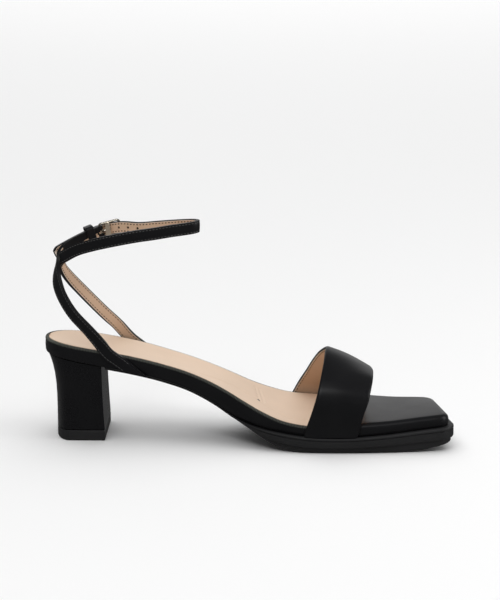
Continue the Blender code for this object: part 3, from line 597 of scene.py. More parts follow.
# %% [markdown]
# ## Making leather pieces
# Three helpers make nearly every piece. One turns points and faces into a clean object whose faces
# point outwards. One gives a grid of points a thickness, as a sheet of leather has. One closes a
# stack of outlines into a body, which suits a sole.

# %% A clean object from points
WELD = 0.000005
SHARP_ANGLE = math.radians(40.0)
ROUNDED_ANGLE = math.radians(50.0)


def new_object(name, points, faces, finish):
    mesh = bpy.data.meshes.new(name)
    mesh.from_pydata([tuple(map(float, p)) for p in points], [], faces)
    mesh.materials.append(finish)
    return placed(name, mesh)


def shade(item):
    """Smooth shading that keeps the sharp corners."""
    item.data.shade_smooth()
    item.data.set_sharp_from_angle(angle=SHARP_ANGLE)
    return item


def finish_mesh(item):
    """Weld the seams, point the faces outwards and shade smooth."""
    work = bmesh.new()
    work.from_mesh(item.data)
    bmesh.ops.remove_doubles(work, verts=work.verts, dist=WELD)
    bmesh.ops.dissolve_degenerate(work, edges=work.edges, dist=WELD / 2)
    bmesh.ops.recalc_face_normals(work, faces=work.faces)
    if work.calc_volume(signed=True) < 0:
        bmesh.ops.reverse_faces(work, faces=work.faces)
    work.to_mesh(item.data)
    work.free()
    return shade(item)


def soften(item, width, segments=2):
    """Round the sharp edges of a piece."""
    bevel = item.modifiers.new("Bevel", "BEVEL")
    bevel.width = width
    bevel.segments = segments
    bevel.limit_method = "ANGLE"
    bevel.angle_limit = ROUNDED_ANGLE
    bevel.use_clamp_overlap = True
    return item


def cut_away(item, cutter):
    """Take a cutter's form out of a piece."""
    boolean = item.modifiers.new("Boolean", "BOOLEAN")
    boolean.operation = "DIFFERENCE"
    boolean.object = cutter
    boolean.solver = "EXACT"


def settle(item):
    """Turn a piece and its modifiers into one plain mesh."""
    graph = bpy.context.evaluated_depsgraph_get()
    mesh = bpy.data.meshes.new_from_object(item.evaluated_get(graph))
    item.modifiers.clear()
    item.data = mesh
    return item


# %% A sheet of leather from a grid of points
def slab(name, grid, facing, low, high, finish, closed=False, edge_finish=None):
    """A sheet between two offsets from a grid. A closed sheet joins its last row to its first.

    The edge finish goes on the rim and on the faces beside it.
    """
    rows, columns = grid.shape[:2]
    count = rows * columns
    points = np.concatenate([(grid + facing * offset).reshape(-1, 3) for offset in (high, low)])
    faces = []
    marks = []
    for r in range(rows if closed else rows - 1):
        below = (r + 1) % rows
        for c in range(columns - 1):
            quad = (r * columns + c, r * columns + c + 1, below * columns + c + 1, below * columns + c)
            faces.append(quad)
            faces.append(tuple(count + k for k in quad[::-1]))
            marks += 2 * [int(c in (0, columns - 2) or not closed and r in (0, rows - 2))]
    sides = [[r * columns + c for r in range(rows)] for c in (0, columns - 1)]
    if closed:
        rims = [side + side[:1] for side in sides]
    else:
        ends = [[r * columns + c for c in range(columns)] for r in (0, rows - 1)]
        rims = sides + ends
    for rim in rims:
        for near, far in zip(rim, rim[1:]):
            faces.append((near, far, count + far, count + near))
            marks.append(1)
    item = new_object(name, points, faces, finish)
    if edge_finish:
        item.data.materials.append(edge_finish)
        item.data.polygons.foreach_set("material_index", marks)
    return finish_mesh(item)


def facing_of(grid):
    """Unit normals of a grid of points."""
    normal = np.cross(np.gradient(grid, axis=0), np.gradient(grid, axis=1))
    return normal / np.maximum(np.linalg.norm(normal, axis=2, keepdims=True), 1e-12)


# %% A sole from a stack of outlines
def layered(name, layers, finish, shares, columns, top_sag=None, **cut):
    """A body from outline layers, listed from the top down, with rows of faces over top and base.

    Each layer is an outward distance and a height as a function of x. The distance is a length or
    a function of x. The sag gives how far the top lies below its rim, from x and the place across
    (-1 to 1).
    """
    loops = []
    for distance, height in layers:
        medial, lateral = pairs(distance, shares, **cut)
        loop = np.concatenate([medial, lateral[::-1]])
        loops.append(np.column_stack([loop, height(loop[:, 0])]))
    size = len(loops[0])
    half = size // 2
    points = np.concatenate(loops).tolist()
    faces = []
    end_rows = {}
    for level, sag in ((0, top_sag), (len(loops) - 1, None)):
        rows = []
        for k in range(half):
            first, last = level * size + k, level * size + size - 1 - k
            row = [first]
            closed = np.linalg.norm(np.subtract(points[first], points[last])) < CLEARANCE
            for c in range(1, 1 if closed else columns):
                t = c / columns
                place = np.array(points[first]) * (1 - t) + np.array(points[last]) * t
                place[2] = layers[level][1](place[:1])[0]
                if sag is not None:
                    place[2] -= sag(place[0], 2 * t - 1)
                row.append(len(points))
                points.append(place.tolist())
            rows.append(row + [last])
        for near, far in zip(rows, rows[1:]):
            if len(near) == len(far):
                for c in range(len(near) - 1):
                    faces.append((near[c], near[c + 1], far[c + 1], far[c]))
            else:
                faces.append((*near, *far[::-1]))
        end_rows[level, size - 1] = rows[0][::-1]
        end_rows[level, half - 1] = rows[-1]
    for level in range(len(loops) - 1):
        for k in range(size):
            upper, lower = (end_rows.get((at, k), (at * size + k, at * size + (k + 1) % size))
                            for at in (level, level + 1))
            faces.append((*upper, *lower[::-1]))
    return finish_mesh(new_object(name, points, faces, finish))


# %% [markdown]
# ## The sole
# The rubber sole shows as a dark band: a ledge that stands proud of the footbed, a fine groove along
# its middle, and a tread that lies in from the side. Under the arch it thins to a shank that hides
# behind the heel. The stack of outlines follows the solid, with softer edges and closer sections.

# %% Moulded sole
# Each row is an inset and a share: of the ledge's side from the top down, then of the tread's side
# from the floor up.
SIDE_LAYERS = ((0.0008, 0.0), (0.0003, 0.02), (0.0, 0.08), (0.0, 0.22), (GROOVE_DEPTH * 0.7, 0.235),
               (GROOVE_DEPTH, 0.27), (GROOVE_DEPTH * 0.7, 0.305), (0.0, 0.32), (0.0, 0.88),
               (0.0002, 0.95), (0.0006, 1.0), (TREAD_INSET, 1.0))
TREAD_LAYERS = ((0.0, 0.25), (0.0003, 0.06), (0.0009, 0.0))


def make_sole():
    start = HEEL_LENGTH / 2 + CLEARANCE + math.tan(HEEL_TURN) * HEEL_WIDTH / 2

    def side(share):
        return lambda x: underside(x) - CLEARANCE - share * SIDE_HEIGHT * profile("side", x)

    def ledge(inset):
        return lambda x: LEDGE_WIDTH * profile("ledge", x) - inset

    def low(share):
        return lambda x: tread(x) + share * (side(1.0)(x) - tread(x))

    layers = [(ledge(inset), side(share)) for inset, share in SIDE_LAYERS]
    layers += [(ledge(TREAD_INSET + inset), low(share)) for inset, share in TREAD_LAYERS]
    stations = np.linspace(0, 1, 150)
    return layered("moulded_sole", layers, sole_rubber, stations, columns=8, start_x=start)


moulded_sole = make_sole()
print("moulded sole:", len(moulded_sole.data.polygons), "faces")

# %% [markdown]
# ## The footbed
# A thin board is wrapped in black leather, so its edge has a rounded top and a tucked lower edge.
# At the toe a little foam lies under the leather, which makes the rounding softer there. A quarter
# circle of layers gives the rounding, and its radius grows towards the toe.

# %% Wrapped footbed
SIDE_BULGE = 0.00015


def make_footbed_wrap():
    layers = []
    for turn in np.linspace(0, math.pi / 2, 7):
        inset = 1 - math.sin(turn)
        drop = 1 - math.cos(turn)
        layers.append((lambda x, k=inset: -k * rim_round(x),
                       lambda x, k=drop: padded_deck(x) - k * rim_round(x)))
    layers += [
        (SIDE_BULGE, lambda x: underside(x) + 0.5 * band(x)),
        (0.0, lambda x: underside(x) + 0.14 * band(x)),
        (lambda x: -0.04 * band(x), lambda x: underside(x) + 0.04 * band(x)),
        (lambda x: -0.14 * band(x), underside),
    ]
    return layered("footbed_wrap", layers, black_leather, np.linspace(0, 1, 220), columns=16, top_sag=dish)


footbed_wrap = make_footbed_wrap()
print("footbed:", len(footbed_wrap.data.polygons), "faces")

# %% [markdown]
# ## The sock
# The tan sock is a thin sheet of leather glued to the footbed. It runs from the seat to under the
# toe strap, and its edge is turned down. A grid of points across the footbed makes it, so that the
# shallow lines pressed into a real footbed can be pushed into the same grid.

# %% Distance of points to a line
def distance_to(line, places):
    """Shortest distance in plan from each place to a line of points."""
    dense = spread(line, np.linspace(0, 1, 1500))
    flat = places.reshape(-1, 2)
    nearest = np.empty(len(flat))
    for start in range(0, len(flat), 500):
        part = flat[start:start + 500]
        gaps = np.linalg.norm(part[:, None, :] - dense[None, :, :], axis=2)
        nearest[start:start + 500] = gaps.min(axis=1)
    return nearest.reshape(places.shape[:-1])


# %% Tan sock
SOCK_PROUD = 0.0004
SOCK_EDGE = 0.0006
PRESSED_DEPTH = 0.00040
PRESSED_WIDTH = 0.0008
PRESSED_LINES = (
    ((0.386, -0.178), (0.458, -0.081), (0.481, -0.051), (0.504, -0.052), (0.525, -0.080),
     (0.540, -0.129)),
    ((0.514, 0.204), (0.518, 0.117), (0.523, 0.038), (0.530, -0.092)),
    ((0.524, 0.198), (0.529, 0.109), (0.536, 0.002), (0.541, -0.103)),
    ((0.550, -0.152), (0.570, -0.188), (0.594, -0.257), (0.615, -0.292), (0.634, -0.298),
     (0.648, -0.283)),
)


def sock_grid(rows=360, columns=96):
    shares = np.linspace(0, 1, rows) ** 1.2
    medial, lateral = pairs(-SOCK_MARGIN, shares, end_x=along_x(SOCK_END))
    across = -np.cos(np.linspace(0, math.pi, columns))
    plan = (medial[:, None, :] * (1 - across[None, :, None]) / 2
            + lateral[:, None, :] * (1 + across[None, :, None]) / 2)
    height = deck(plan[..., 0]) - dish(plan[..., 0], across[None, :]) + SOCK_PROUD
    rim = np.concatenate([medial[::-1], lateral])
    near = np.clip(1 - distance_to(rim, plan) / SOCK_EDGE, 0, 1)
    height -= SOCK_EDGE * (1 - np.sqrt(1 - near ** 2))
    for line in PRESSED_LINES:
        path = np.array([(along_x(along), side * BALL_WIDTH) for along, side in line])
        gap = distance_to(path, plan)
        height -= PRESSED_DEPTH * np.exp(-(gap / PRESSED_WIDTH) ** 2)
    return np.dstack([plan, height])


grid = sock_grid()
upwards = np.zeros_like(grid)
upwards[..., 2] = 1.0
tan_sock = slab("tan_sock", grid, upwards, -SOCK_THICKNESS, 0.0, sock_leather)
print("sock:", len(tan_sock.data.polygons), "faces")

# %% [markdown]
# ## Stitches and the notched edge
# Stitches repeat along a line, so Geometry Nodes place them: the tree takes a line of edges, sets
# even points on it, and puts one small rounded grain on each, as long, wide and high as its inputs
# say. The same tree makes the notched strip along the sock's edge, with short wide grains.

# %% Tree for a row of grains
def row_tree():
    tree = bpy.data.node_groups.new("row of grains", "GeometryNodeTree")
    tree.interface.new_socket("Line", in_out="INPUT", socket_type="NodeSocketGeometry")
    for name in ("Pitch", "Length", "Width", "Height", "Slant"):
        tree.interface.new_socket(name, in_out="INPUT", socket_type="NodeSocketFloat")
    tree.interface.new_socket("Finish", in_out="INPUT", socket_type="NodeSocketMaterial")
    tree.interface.new_socket("Grains", in_out="OUTPUT", socket_type="NodeSocketGeometry")
    net = Net(tree)
    given = tree.nodes.new("NodeGroupInput")
    line, pitch, length, width, height, slant, finish = (Value(net, given.outputs[k]) for k in range(7))
    curve = net.node("GeometryNodeMeshToCurve", inputs={"Mesh": line})
    upright = net.node("GeometryNodeSetCurveNormal", {"mode": "Z_UP"}, {"Curve": curve})
    places = net.node("GeometryNodeCurveToPoints", {"mode": "LENGTH"}, {"Curve": upright, "Length": pitch})
    turn = Value(net, places.socket.node.outputs["Rotation"])
    grain = net.node("GeometryNodeMeshUVSphere", inputs={"Segments": 8, "Rings": 5, "Radius": 0.5})
    size = net.node("ShaderNodeCombineXYZ", inputs={"X": width, "Y": height, "Z": length})
    row = net.node("GeometryNodeInstanceOnPoints",
                   inputs={"Points": places, "Instance": grain, "Rotation": turn, "Scale": size})
    lean = net.node("ShaderNodeCombineXYZ", inputs={"X": slant})
    slanted = net.node("GeometryNodeRotateInstances", inputs={"Instances": row, "Rotation": lean})
    real = net.node("GeometryNodeRealizeInstances", inputs={"Geometry": slanted})
    smoothed = net.node("GeometryNodeSetShadeSmooth", inputs={"Geometry": real})
    done = net.node("GeometryNodeSetMaterial", inputs={"Geometry": smoothed, "Material": finish})
    out = tree.nodes.new("NodeGroupOutput")
    tree.links.new(done.socket, out.inputs[0])
    return tree


grain_row = row_tree()


def row_of_grains(name, lines, finish, pitch, length, width, height, slant=0.0):
    """Grains along one or more lines of points, as one mesh."""
    mesh = bpy.data.meshes.new(name)
    points = np.concatenate(lines)
    edges = []
    start = 0
    for line in lines:
        edges += [(start + k, start + k + 1) for k in range(len(line) - 1)]
        start += len(line)
    mesh.from_pydata(points.tolist(), edges, [])
    item = placed(name, mesh)
    nodes = item.modifiers.new("Row", "NODES")
    nodes.node_group = grain_row
    sizes = {"Pitch": pitch, "Length": length, "Width": width, "Height": height, "Slant": slant,
             "Finish": finish}
    for socket in grain_row.interface.items_tree:
        if socket.name in sizes:
            nodes[socket.identifier] = sizes[socket.name]
    return settle(item)


# %% Notched strip round the sock
STRIP_INSET = 0.0009
STRIP_DROP = 0.0009
RIB_SLANT = math.radians(28)


def notched_strip():
    """Short ribs of the footbed's leather, side by side on the rim beside the sock."""
    end = along_x(SOCK_END)
    lines = []
    for side in ("medial", "lateral"):
        plan = spread(cut_line(offset_side(side, -STRIP_INSET), None, end), np.linspace(0, 1, 400))
        lines.append(np.column_stack([plan, deck(plan[:, 0]) - STRIP_DROP]))
    # The ribs' grey finish is painted highlight.
    return row_of_grains("notched_strip", lines, notched_edge_highlight_leather, pitch=0.00092, length=0.00070,
                         width=0.0022, height=0.0025, slant=RIB_SLANT)


notched_edge = notched_strip()
print("notched strip:", len(notched_edge.data.polygons), "faces")

# %% [markdown]
# ## The toe strap
# One wide strap arches over the toes. It is two skins: black leather outside, rolled over its edges,
# and a tan lining inside, a little narrower, sewn near the edges. Both come from one grid of points
# on the strap's inner face, and the grid's normals carry them outwards. The rows of the grid lie
# closer near the strap's edges, where the leather rolls.

# %% Grid of the toe strap
def vamp_edge(edge, rise, places):
    """The toe strap's rear or front edge on its inner face: share out, height over rim, share along."""
    rows = np.arange(len(VAMP))
    out, up, along = (column(VAMP, VAMP_COLUMNS, f"{edge}_{name}") for name in ("out", "up", "along"))
    height = up * np.where(up < 0, band(along_x(along)), rise)
    return smooth(places, rows, out), smooth(places, rows, height), smooth(places, rows, along)


TOE_STEPS = np.concatenate([[0, 0.006, 0.014, 0.026, 0.045], np.linspace(0.075, 0.925, 22),
                            [0.955, 0.974, 0.986, 0.994, 1]])
TOE_ROLL = 0.05
TOE_MIDDLE = len(TOE_STEPS) // 2


def toe_strap_grid(columns=170):
    across = np.linspace(0, len(VAMP) - 1, columns)
    rear = vamp_edge("rear", VAMP_RISE_REAR, across)
    front = vamp_edge("front", VAMP_RISE_FRONT, across)
    lines = []
    for step in TOE_STEPS:
        out, height, along = (r + (f - r) * step for r, f in zip(rear, front))
        x = along_x(along)
        width = np.where(out < 0, flank("medial", x), flank("lateral", x))
        side = np.clip((np.abs(out) - 0.90) / 0.08, 0, 1)
        y = out * width + np.sign(out) * CLEARANCE * side
        swell = VAMP_SWELL * math.sin(math.pi * step) * np.clip(height / VAMP_RISE_FRONT, 0, 1)
        z = np.maximum(deck(x) + height + swell, underside(x))
        lines.append(np.column_stack([x, y, z]))
    return np.array(lines)


toe_grid = toe_strap_grid()
toe_facing = facing_of(toe_grid)
if toe_facing[TOE_MIDDLE, toe_grid.shape[1] // 2, 2] < 0:
    toe_facing = -toe_facing

# %% Upper and lining of the toe strap
LINING_THICKNESS = 0.0007
TOE_LINING_PROUD = 0.00008
TOE_LINED = slice(2, -2)
TOE_SEWN = slice(12, -12)
TOE_STITCH_ROWS = (4, -5)
TOE_STITCH_LIFT = -0.00012
from_edge = np.minimum(TOE_STEPS, 1 - TOE_STEPS)[:, None, None]
roll = 0.45 + 0.55 * np.sqrt(1 - (1 - np.clip(from_edge / TOE_ROLL, 0, 1)) ** 2)
toe_upper = slab("toe_strap_upper", toe_grid, toe_facing, LINING_THICKNESS * (roll > 0.8),
                 VAMP_THICKNESS * roll, black_leather)
toe_lining = slab("toe_strap_lining", toe_grid[TOE_LINED], toe_facing[TOE_LINED], -TOE_LINING_PROUD,
                  LINING_THICKNESS, lining_leather, edge_finish=raw_edge)
toe_stitch_lines = [toe_grid[row, TOE_SEWN] + toe_facing[row, TOE_SEWN] * TOE_STITCH_LIFT
                    for row in TOE_STITCH_ROWS]
toe_stitches = row_of_grains("toe_strap_stitches", toe_stitch_lines, brown_thread, pitch=0.0021,
                             length=0.0013, width=0.00050, height=0.00050)
print("toe strap:", len(toe_upper.data.polygons) + len(toe_lining.data.polygons), "faces")

# %% [markdown]
# ## The ankle straps
# Two narrow straps rise from the waist of the shoe, cross behind the ankle and meet at the buckle.
# Each is a black skin on a tan lining, so both colours show where the strap turns. The paths are
# the solids' own, sampled more closely.

# %% Paths of the ankle straps
def smooth_path(points, spacing):
    """Even points on a smooth curve through the given ones: a place and a lean in each row."""
    points = np.array([(*row, 0.0)[:4] for row in points], float)
    run = np.concatenate([[0], np.cumsum(np.linalg.norm(np.diff(points[:, :3], axis=0), axis=1) ** 0.5)])
    fine = np.linspace(0, run[-1], 40 * len(points))
    curve = np.stack([smooth(fine, run, points[:, axis]) for axis in range(4)], axis=1)
    length = run_of(curve)
    at = np.linspace(0, length[-1], max(4, round(length[-1] / spacing)))
    return np.stack([np.interp(at, length, curve[:, axis]) for axis in range(4)], axis=1)


def strap_root(side, share):
    """A strap's way up the footbed's wrapped edge, from below its lower corner to over the rim."""
    sign = -1 if side == "medial" else 1
    reach = CLEARANCE + STRAP_THICKNESS / 2
    rows = []
    for step, up in ROOT:
        x = along_x(share + step)
        rows.append((x, sign * (float(flank(side, x)) + reach), float(deck(x) + up * band(x)), 0.0))
    return rows


def ankle_points(rows, root_share):
    """Table rows as points in the shoe's frame."""
    low = float(deck(along_x(root_share)))
    points = []
    for row in rows:
        along, out, up, lean = (row[ANKLE_COLUMNS.index(name)] for name in ANKLE_COLUMNS)
        points.append((ANKLE_BACK + along * ANKLE_LENGTH, out * ANKLE_WIDTH,
                       low + up * (ANKLE_HEIGHT - low), math.radians(lean)))
    return points


def buckle_frame_axes():
    """Hinge bar's middle, and the buckle's directions forwards, outwards and up."""
    hinge = Vector(ankle_points([HINGE_BAR], BUCKLE_STRAP_ROOT)[0][:3])
    forward = Vector((1.0, BUCKLE_TURN, BUCKLE_SLOPE)).normalized()
    outward = forward.cross(UP).normalized() * -1
    upward = outward.cross(forward).normalized() * -1
    return hinge, forward, outward, upward


def eye_radius():
    """Outer radius of the strap's end where it is folded round the hinge bar."""
    return BUCKLE_WIRE + CLEARANCE + 0.5 * STRAP_THICKNESS


def buckle_strap_path():
    """The short strap: medial root, behind the ankle outside the long one, to the hinge bar."""
    hinge = buckle_frame_axes()[0]
    return (strap_root("medial", BUCKLE_STRAP_ROOT) + ankle_points(BUCKLE_STRAP, BUCKLE_STRAP_ROOT)
            + [tuple(hinge)])


def keeper_middle():
    """Middle of the short strap inside the keeper."""
    path = smooth_path(buckle_strap_path(), 0.001)
    gaps = np.linalg.norm(path[:, :3] - path[-1, :3], axis=1)
    return Vector(path[int(np.argmax(gaps < KEEPER_AT)), :3])


def long_strap_path():
    """The long strap: lateral root, behind the ankle, round the front, through the buckle, tail."""
    hinge, forward, outward, _ = buckle_frame_axes()
    points = strap_root("lateral", LONG_STRAP_ROOT) + ankle_points(LONG_STRAP, LONG_STRAP_ROOT)
    lay = STRAP_THICKNESS / 2 + CLEARANCE
    end_bar = hinge + forward * BUCKLE_LENGTH
    inside = end_bar + forward * BUCKLE_WIRE - outward * END_BAR_PASS * (BUCKLE_WIRE + lay)
    over_eye = hinge + outward * EYE_PASS * (eye_radius() + lay)
    keeper = keeper_middle() + outward * (STRAP_THICKNESS + 2 * CLEARANCE)
    points += [tuple(inside), tuple(over_eye), tuple(keeper)]
    return points + ankle_points(TAIL, LONG_STRAP_ROOT)


def prong_ends():
    """The prong runs from the hinge bar through the strap to the end bar's outer side."""
    hinge, forward, outward, _ = buckle_frame_axes()
    start = hinge + outward * (BUCKLE_WIRE + CLEARANCE + PRONG_WALL / 2)
    over_bar = outward * (BUCKLE_WIRE + CLEARANCE + PRONG_WIRE)
    end = hinge + forward * (BUCKLE_LENGTH + 1.5 * BUCKLE_WIRE) + over_bar
    return start, end


# %% A strap from its path
LINED = 0.86
HALF_ACROSS = np.array([0.22, 0.45, 0.60, 0.68, 0.74, 0.80, LINED, LINED + 0.01, 0.90, 0.97, 1.0])
ACROSS = np.concatenate([-HALF_ACROSS[::-1], [0.0], HALF_ACROSS])
MIDDLE = len(ACROSS) // 2
PATH_SPACING = 0.0012


def strap_grid(path, outward_sign, tip=False):
    """Points across a strap that stands upright and faces away from the ankle, plus its lean."""
    ahead = np.gradient(path[:, :3], axis=0)
    length = run_of(path)
    grid = np.empty((len(path), len(ACROSS), 3))
    facing = np.empty((len(path), len(ACROSS), 3))
    for k, (place, direction) in enumerate(zip(path, ahead)):
        direction = Vector(direction).normalized()
        outward = UP.cross(Vector((direction.x, direction.y, 0.0))).normalized() * outward_sign
        across = outward.cross(direction).normalized()
        if across.z < 0:
            across.negate()
        across = Matrix.Rotation(float(place[3]), 3, direction) @ across
        normal = across.cross(direction).normalized()
        if normal.dot(outward) < 0:
            normal.negate()
        half = STRAP_WIDTH / 2
        to_tip = length[-1] - length[k]
        if tip and to_tip < STRAP_THICKNESS:
            half *= TIP_WIDTH + (1 - TIP_WIDTH) * to_tip / STRAP_THICKNESS
        for c, share in enumerate(ACROSS):
            grid[k, c] = Vector(place[:3]) + across * (half * share)
            facing[k, c] = normal
    return grid, facing


def rod(name, start, end, radius, sides=24):
    """A capped cylinder between two points."""
    work = bmesh.new()
    bmesh.ops.create_cone(work, cap_ends=True, segments=sides, radius1=radius, radius2=radius,
                          depth=(end - start).length)
    turn = UP.rotation_difference((end - start).normalized()).to_matrix().to_4x4()
    bmesh.ops.transform(work, matrix=Matrix.Translation((start + end) / 2) @ turn, verts=work.verts)
    mesh = bpy.data.meshes.new(name)
    work.to_mesh(mesh)
    work.free()
    return placed(name, mesh)


# %% Skins of the two straps
SKIN_SPLIT = -0.00025
LINING_PROUD = 0.00006
SLOPE_REACH = 0.004
hinge, forward, outward, upward = buckle_frame_axes()


def swelling(across):
    """Height of the outer face across a strap: a padded middle between two sewn grooves."""
    rounding = 0.78 + 0.22 * np.sqrt(np.clip(1 - ((np.abs(across) - 0.80) / 0.20).clip(0, 1) ** 2, 0, 1))
    middle = 0.12 * np.clip(1 - (across / 0.70) ** 2, 0, 1)
    groove = 0.14 * np.exp(-((np.abs(across) - 0.72) / 0.07) ** 2)
    return rounding + middle - groove


def make_skins(name, grid, facing):
    """Black upper and tan lining of one strap. The upper is turned over both edges of the lining."""
    across = ACROSS[None, :, None]
    half = STRAP_THICKNESS / 2
    depth = np.where(np.abs(across) > LINED, -half, SKIN_SPLIT)
    upper = slab(name + "_upper", grid, facing, depth, half * swelling(across), black_leather)
    inner = np.abs(ACROSS) <= LINED
    lining = slab(name + "_lining", grid[:, inner], facing[:, inner], -half - LINING_PROUD, SKIN_SPLIT,
                  lining_leather, edge_finish=raw_edge)
    return [settle(upper), settle(lining)]


def trim_root(item, side, share):
    """End a strap level with the footbed's lower edge, where it is sewn under the board."""
    x = along_x(share)
    slope = float(underside(x + SLOPE_REACH) - underside(x - SLOPE_REACH)) / (2 * SLOPE_REACH)
    work = bmesh.new()
    work.from_mesh(item.data)
    cut = bmesh.ops.bisect_plane(work, geom=work.verts[:] + work.edges[:] + work.faces[:],
                                 plane_co=(x, 0, float(underside(x))), plane_no=(slope, 0, -1),
                                 clear_outer=True)
    rim = [e for e in cut["geom_cut"] if isinstance(e, bmesh.types.BMEdge)]
    bmesh.ops.holes_fill(work, edges=rim, sides=0)
    bmesh.ops.triangulate(work, faces=[f for f in work.faces if len(f.verts) > 4])
    work.to_mesh(item.data)
    work.free()
    shade(item)


short_path = smooth_path(buckle_strap_path(), PATH_SPACING)
long_path = smooth_path(long_strap_path(), PATH_SPACING)
short_grid, short_facing = strap_grid(short_path, 1.0)
long_grid, long_facing = strap_grid(long_path, -1.0, tip=True)
short_skins = make_skins("buckle_strap", short_grid, short_facing)
long_skins = make_skins("long_strap", long_grid, long_facing)
for skin in short_skins:
    trim_root(skin, "medial", BUCKLE_STRAP_ROOT)
for skin in long_skins:
    trim_root(skin, "lateral", LONG_STRAP_ROOT)

# %% [markdown]
# ### Holes, fold and slot
# The long strap has punched holes for the prong. The short strap's end is folded round the buckle's
# hinge bar, with a slot that lets the prong swing. Cutters made of plain rods take these out of the
# finished skins, and a ring of leather stands for the fold. The punches stop short of each other, so
# that a thin black skin inside each hole is painted shade: it makes the hole look dark from both sides.

# %% Cut the holes and the slot
HOLE_PITCH = 0.0060
HOLE_RADIUS = 0.00075
HOLE_STEPS = (-3, -2, -1, 0)
PUNCH_REACH = 0.003
SHADE_SKIN_START = 0.0004
prong_start, prong_end = prong_ends()


def hole_cutters(start):
    """Rods into the long strap, evenly spaced from where the prong goes through."""
    length = run_of(long_path)
    passing = np.array(hinge + forward * BUCKLE_LENGTH * 0.5)
    middle = len(long_path) // 2
    nearest = middle + int(np.argmin(np.linalg.norm(long_path[middle:, :3] - passing, axis=1)))
    cutters = []
    for step in HOLE_STEPS:
        at = int(np.argmin(np.abs(length - (length[nearest] + step * HOLE_PITCH))))
        place = Vector(long_path[at, :3])
        normal = Vector(long_facing[at, MIDDLE])
        cutters.append(rod("punch", place + normal * start, place + normal * PUNCH_REACH, HOLE_RADIUS, 16))
    return cutters


punches = hole_cutters(-PUNCH_REACH)
# These cut only the outer part of the upper, so a thin black skin stays in each hole as painted shade.
shade_skin_cutters = hole_cutters(SHADE_SKIN_START)
prong_way = rod("prong_way", prong_start, prong_end, PRONG_WIRE + CLEARANCE, 16)
for skin, holes in zip(long_skins, (shade_skin_cutters, punches)):
    for cutter in holes + [prong_way]:
        cut_away(skin, cutter)
    settle(skin)


def rod_on_hinge(name, half, radius, sides=24):
    """A rod along the hinge bar, with half its length on each side of the middle."""
    return rod(name, hinge - upward * half, hinge + upward * half, radius, sides)


bar_way = rod_on_hinge("bar_way", STRAP_WIDTH, BUCKLE_WIRE + CLEARANCE)
slot_way = rod_on_hinge("slot_way", PRONG_EYE / 2 + CLEARANCE, SLOT_REACH * eye_radius())
fold = rod_on_hinge("buckle_strap_fold", STRAP_WIDTH / 2, eye_radius(), 40)
fold.data.materials.append(black_leather)
for piece in short_skins + [fold]:
    cut_away(piece, bar_way)
    cut_away(piece, slot_way)
    settle(piece)
shade(fold)

# %% The buckle strap's end, turned back on its inner side
TURN_BACK = 0.027
TURNED_THICKNESS = 0.0008
TURNED_LOW = 0.10
TURNED_CURVE = 1.2


def make_turned_end():
    """Black leather from the hinge bar back along the lining, narrower towards its end."""
    length = run_of(short_path)
    rows = np.nonzero(length > length[-1] - TURN_BACK)[0]
    back = (length[-1] - length[rows]) / TURN_BACK
    low = TURNED_LOW + (-1 - TURNED_LOW) * back ** TURNED_CURVE
    shares = np.linspace(0, 1, 9)
    across = low[:, None] + (1.0 - low[:, None]) * shares[None, :]
    edge_low, edge_high = short_grid[rows, 0][:, None, :], short_grid[rows, -1][:, None, :]
    grid = edge_low + (edge_high - edge_low) * (across[..., None] + 1) / 2
    facing = np.repeat(short_facing[rows, MIDDLE][:, None, :], len(shares), axis=1)
    inside = -STRAP_THICKNESS / 2
    thickness = TURNED_THICKNESS * (1 - 0.6 * back)[:, None, None]
    turned = slab("turned_back_end", grid, facing, inside - thickness, inside + 0.00005, black_leather)
    cut_away(soften(turned, 0.00025), bar_way)
    return settle(turned)


turned_end = make_turned_end()
for cutter in punches + shade_skin_cutters + [prong_way, bar_way, slot_way]:
    bpy.data.objects.remove(cutter)

# %% Stitches of the ankle straps
STITCH_AT = 0.74
LINING_STITCH_AT = 0.60
STITCH_PITCH = 0.0020
SHORT_SEWN = slice(12, -4)
LONG_SEWN = slice(12, -2)


def stitch_lines(at, lift):
    """Lines along both edges of both straps, on one of their faces."""
    lines = []
    for grid, facing, sewn in ((short_grid, short_facing, SHORT_SEWN), (long_grid, long_facing, LONG_SEWN)):
        for share in (-at, at):
            c = int(np.argmin(np.abs(ACROSS - share)))
            lines.append(grid[sewn, c] + facing[sewn, c] * lift)
    return lines


outer_lift = 0.5 * STRAP_THICKNESS * float(swelling(np.array(STITCH_AT)))
inner_lift = -0.5 * STRAP_THICKNESS - LINING_PROUD
# Black thread, coloured grey as painted sheen.
outer_stitches = row_of_grains("strap_stitches", stitch_lines(STITCH_AT, outer_lift), black_thread_with_painted_sheen,
                               STITCH_PITCH, length=0.0014, width=0.00042, height=0.00045)
inner_stitches = row_of_grains("lining_stitches", stitch_lines(LINING_STITCH_AT, inner_lift), brown_thread,
                               STITCH_PITCH, length=0.0011, width=0.00050, height=0.00065)
print("stitches:", len(outer_stitches.data.polygons) + len(inner_stitches.data.polygons), "faces")

# %% [markdown]
# ### The keeper
# A narrow band of leather holds the strap's tail. It is bent round a rounded rectangle, so the band
# is a closed sheet whose rows follow that rectangle.

# %% Leather keeper
KEEPER_CORNER = 0.0009


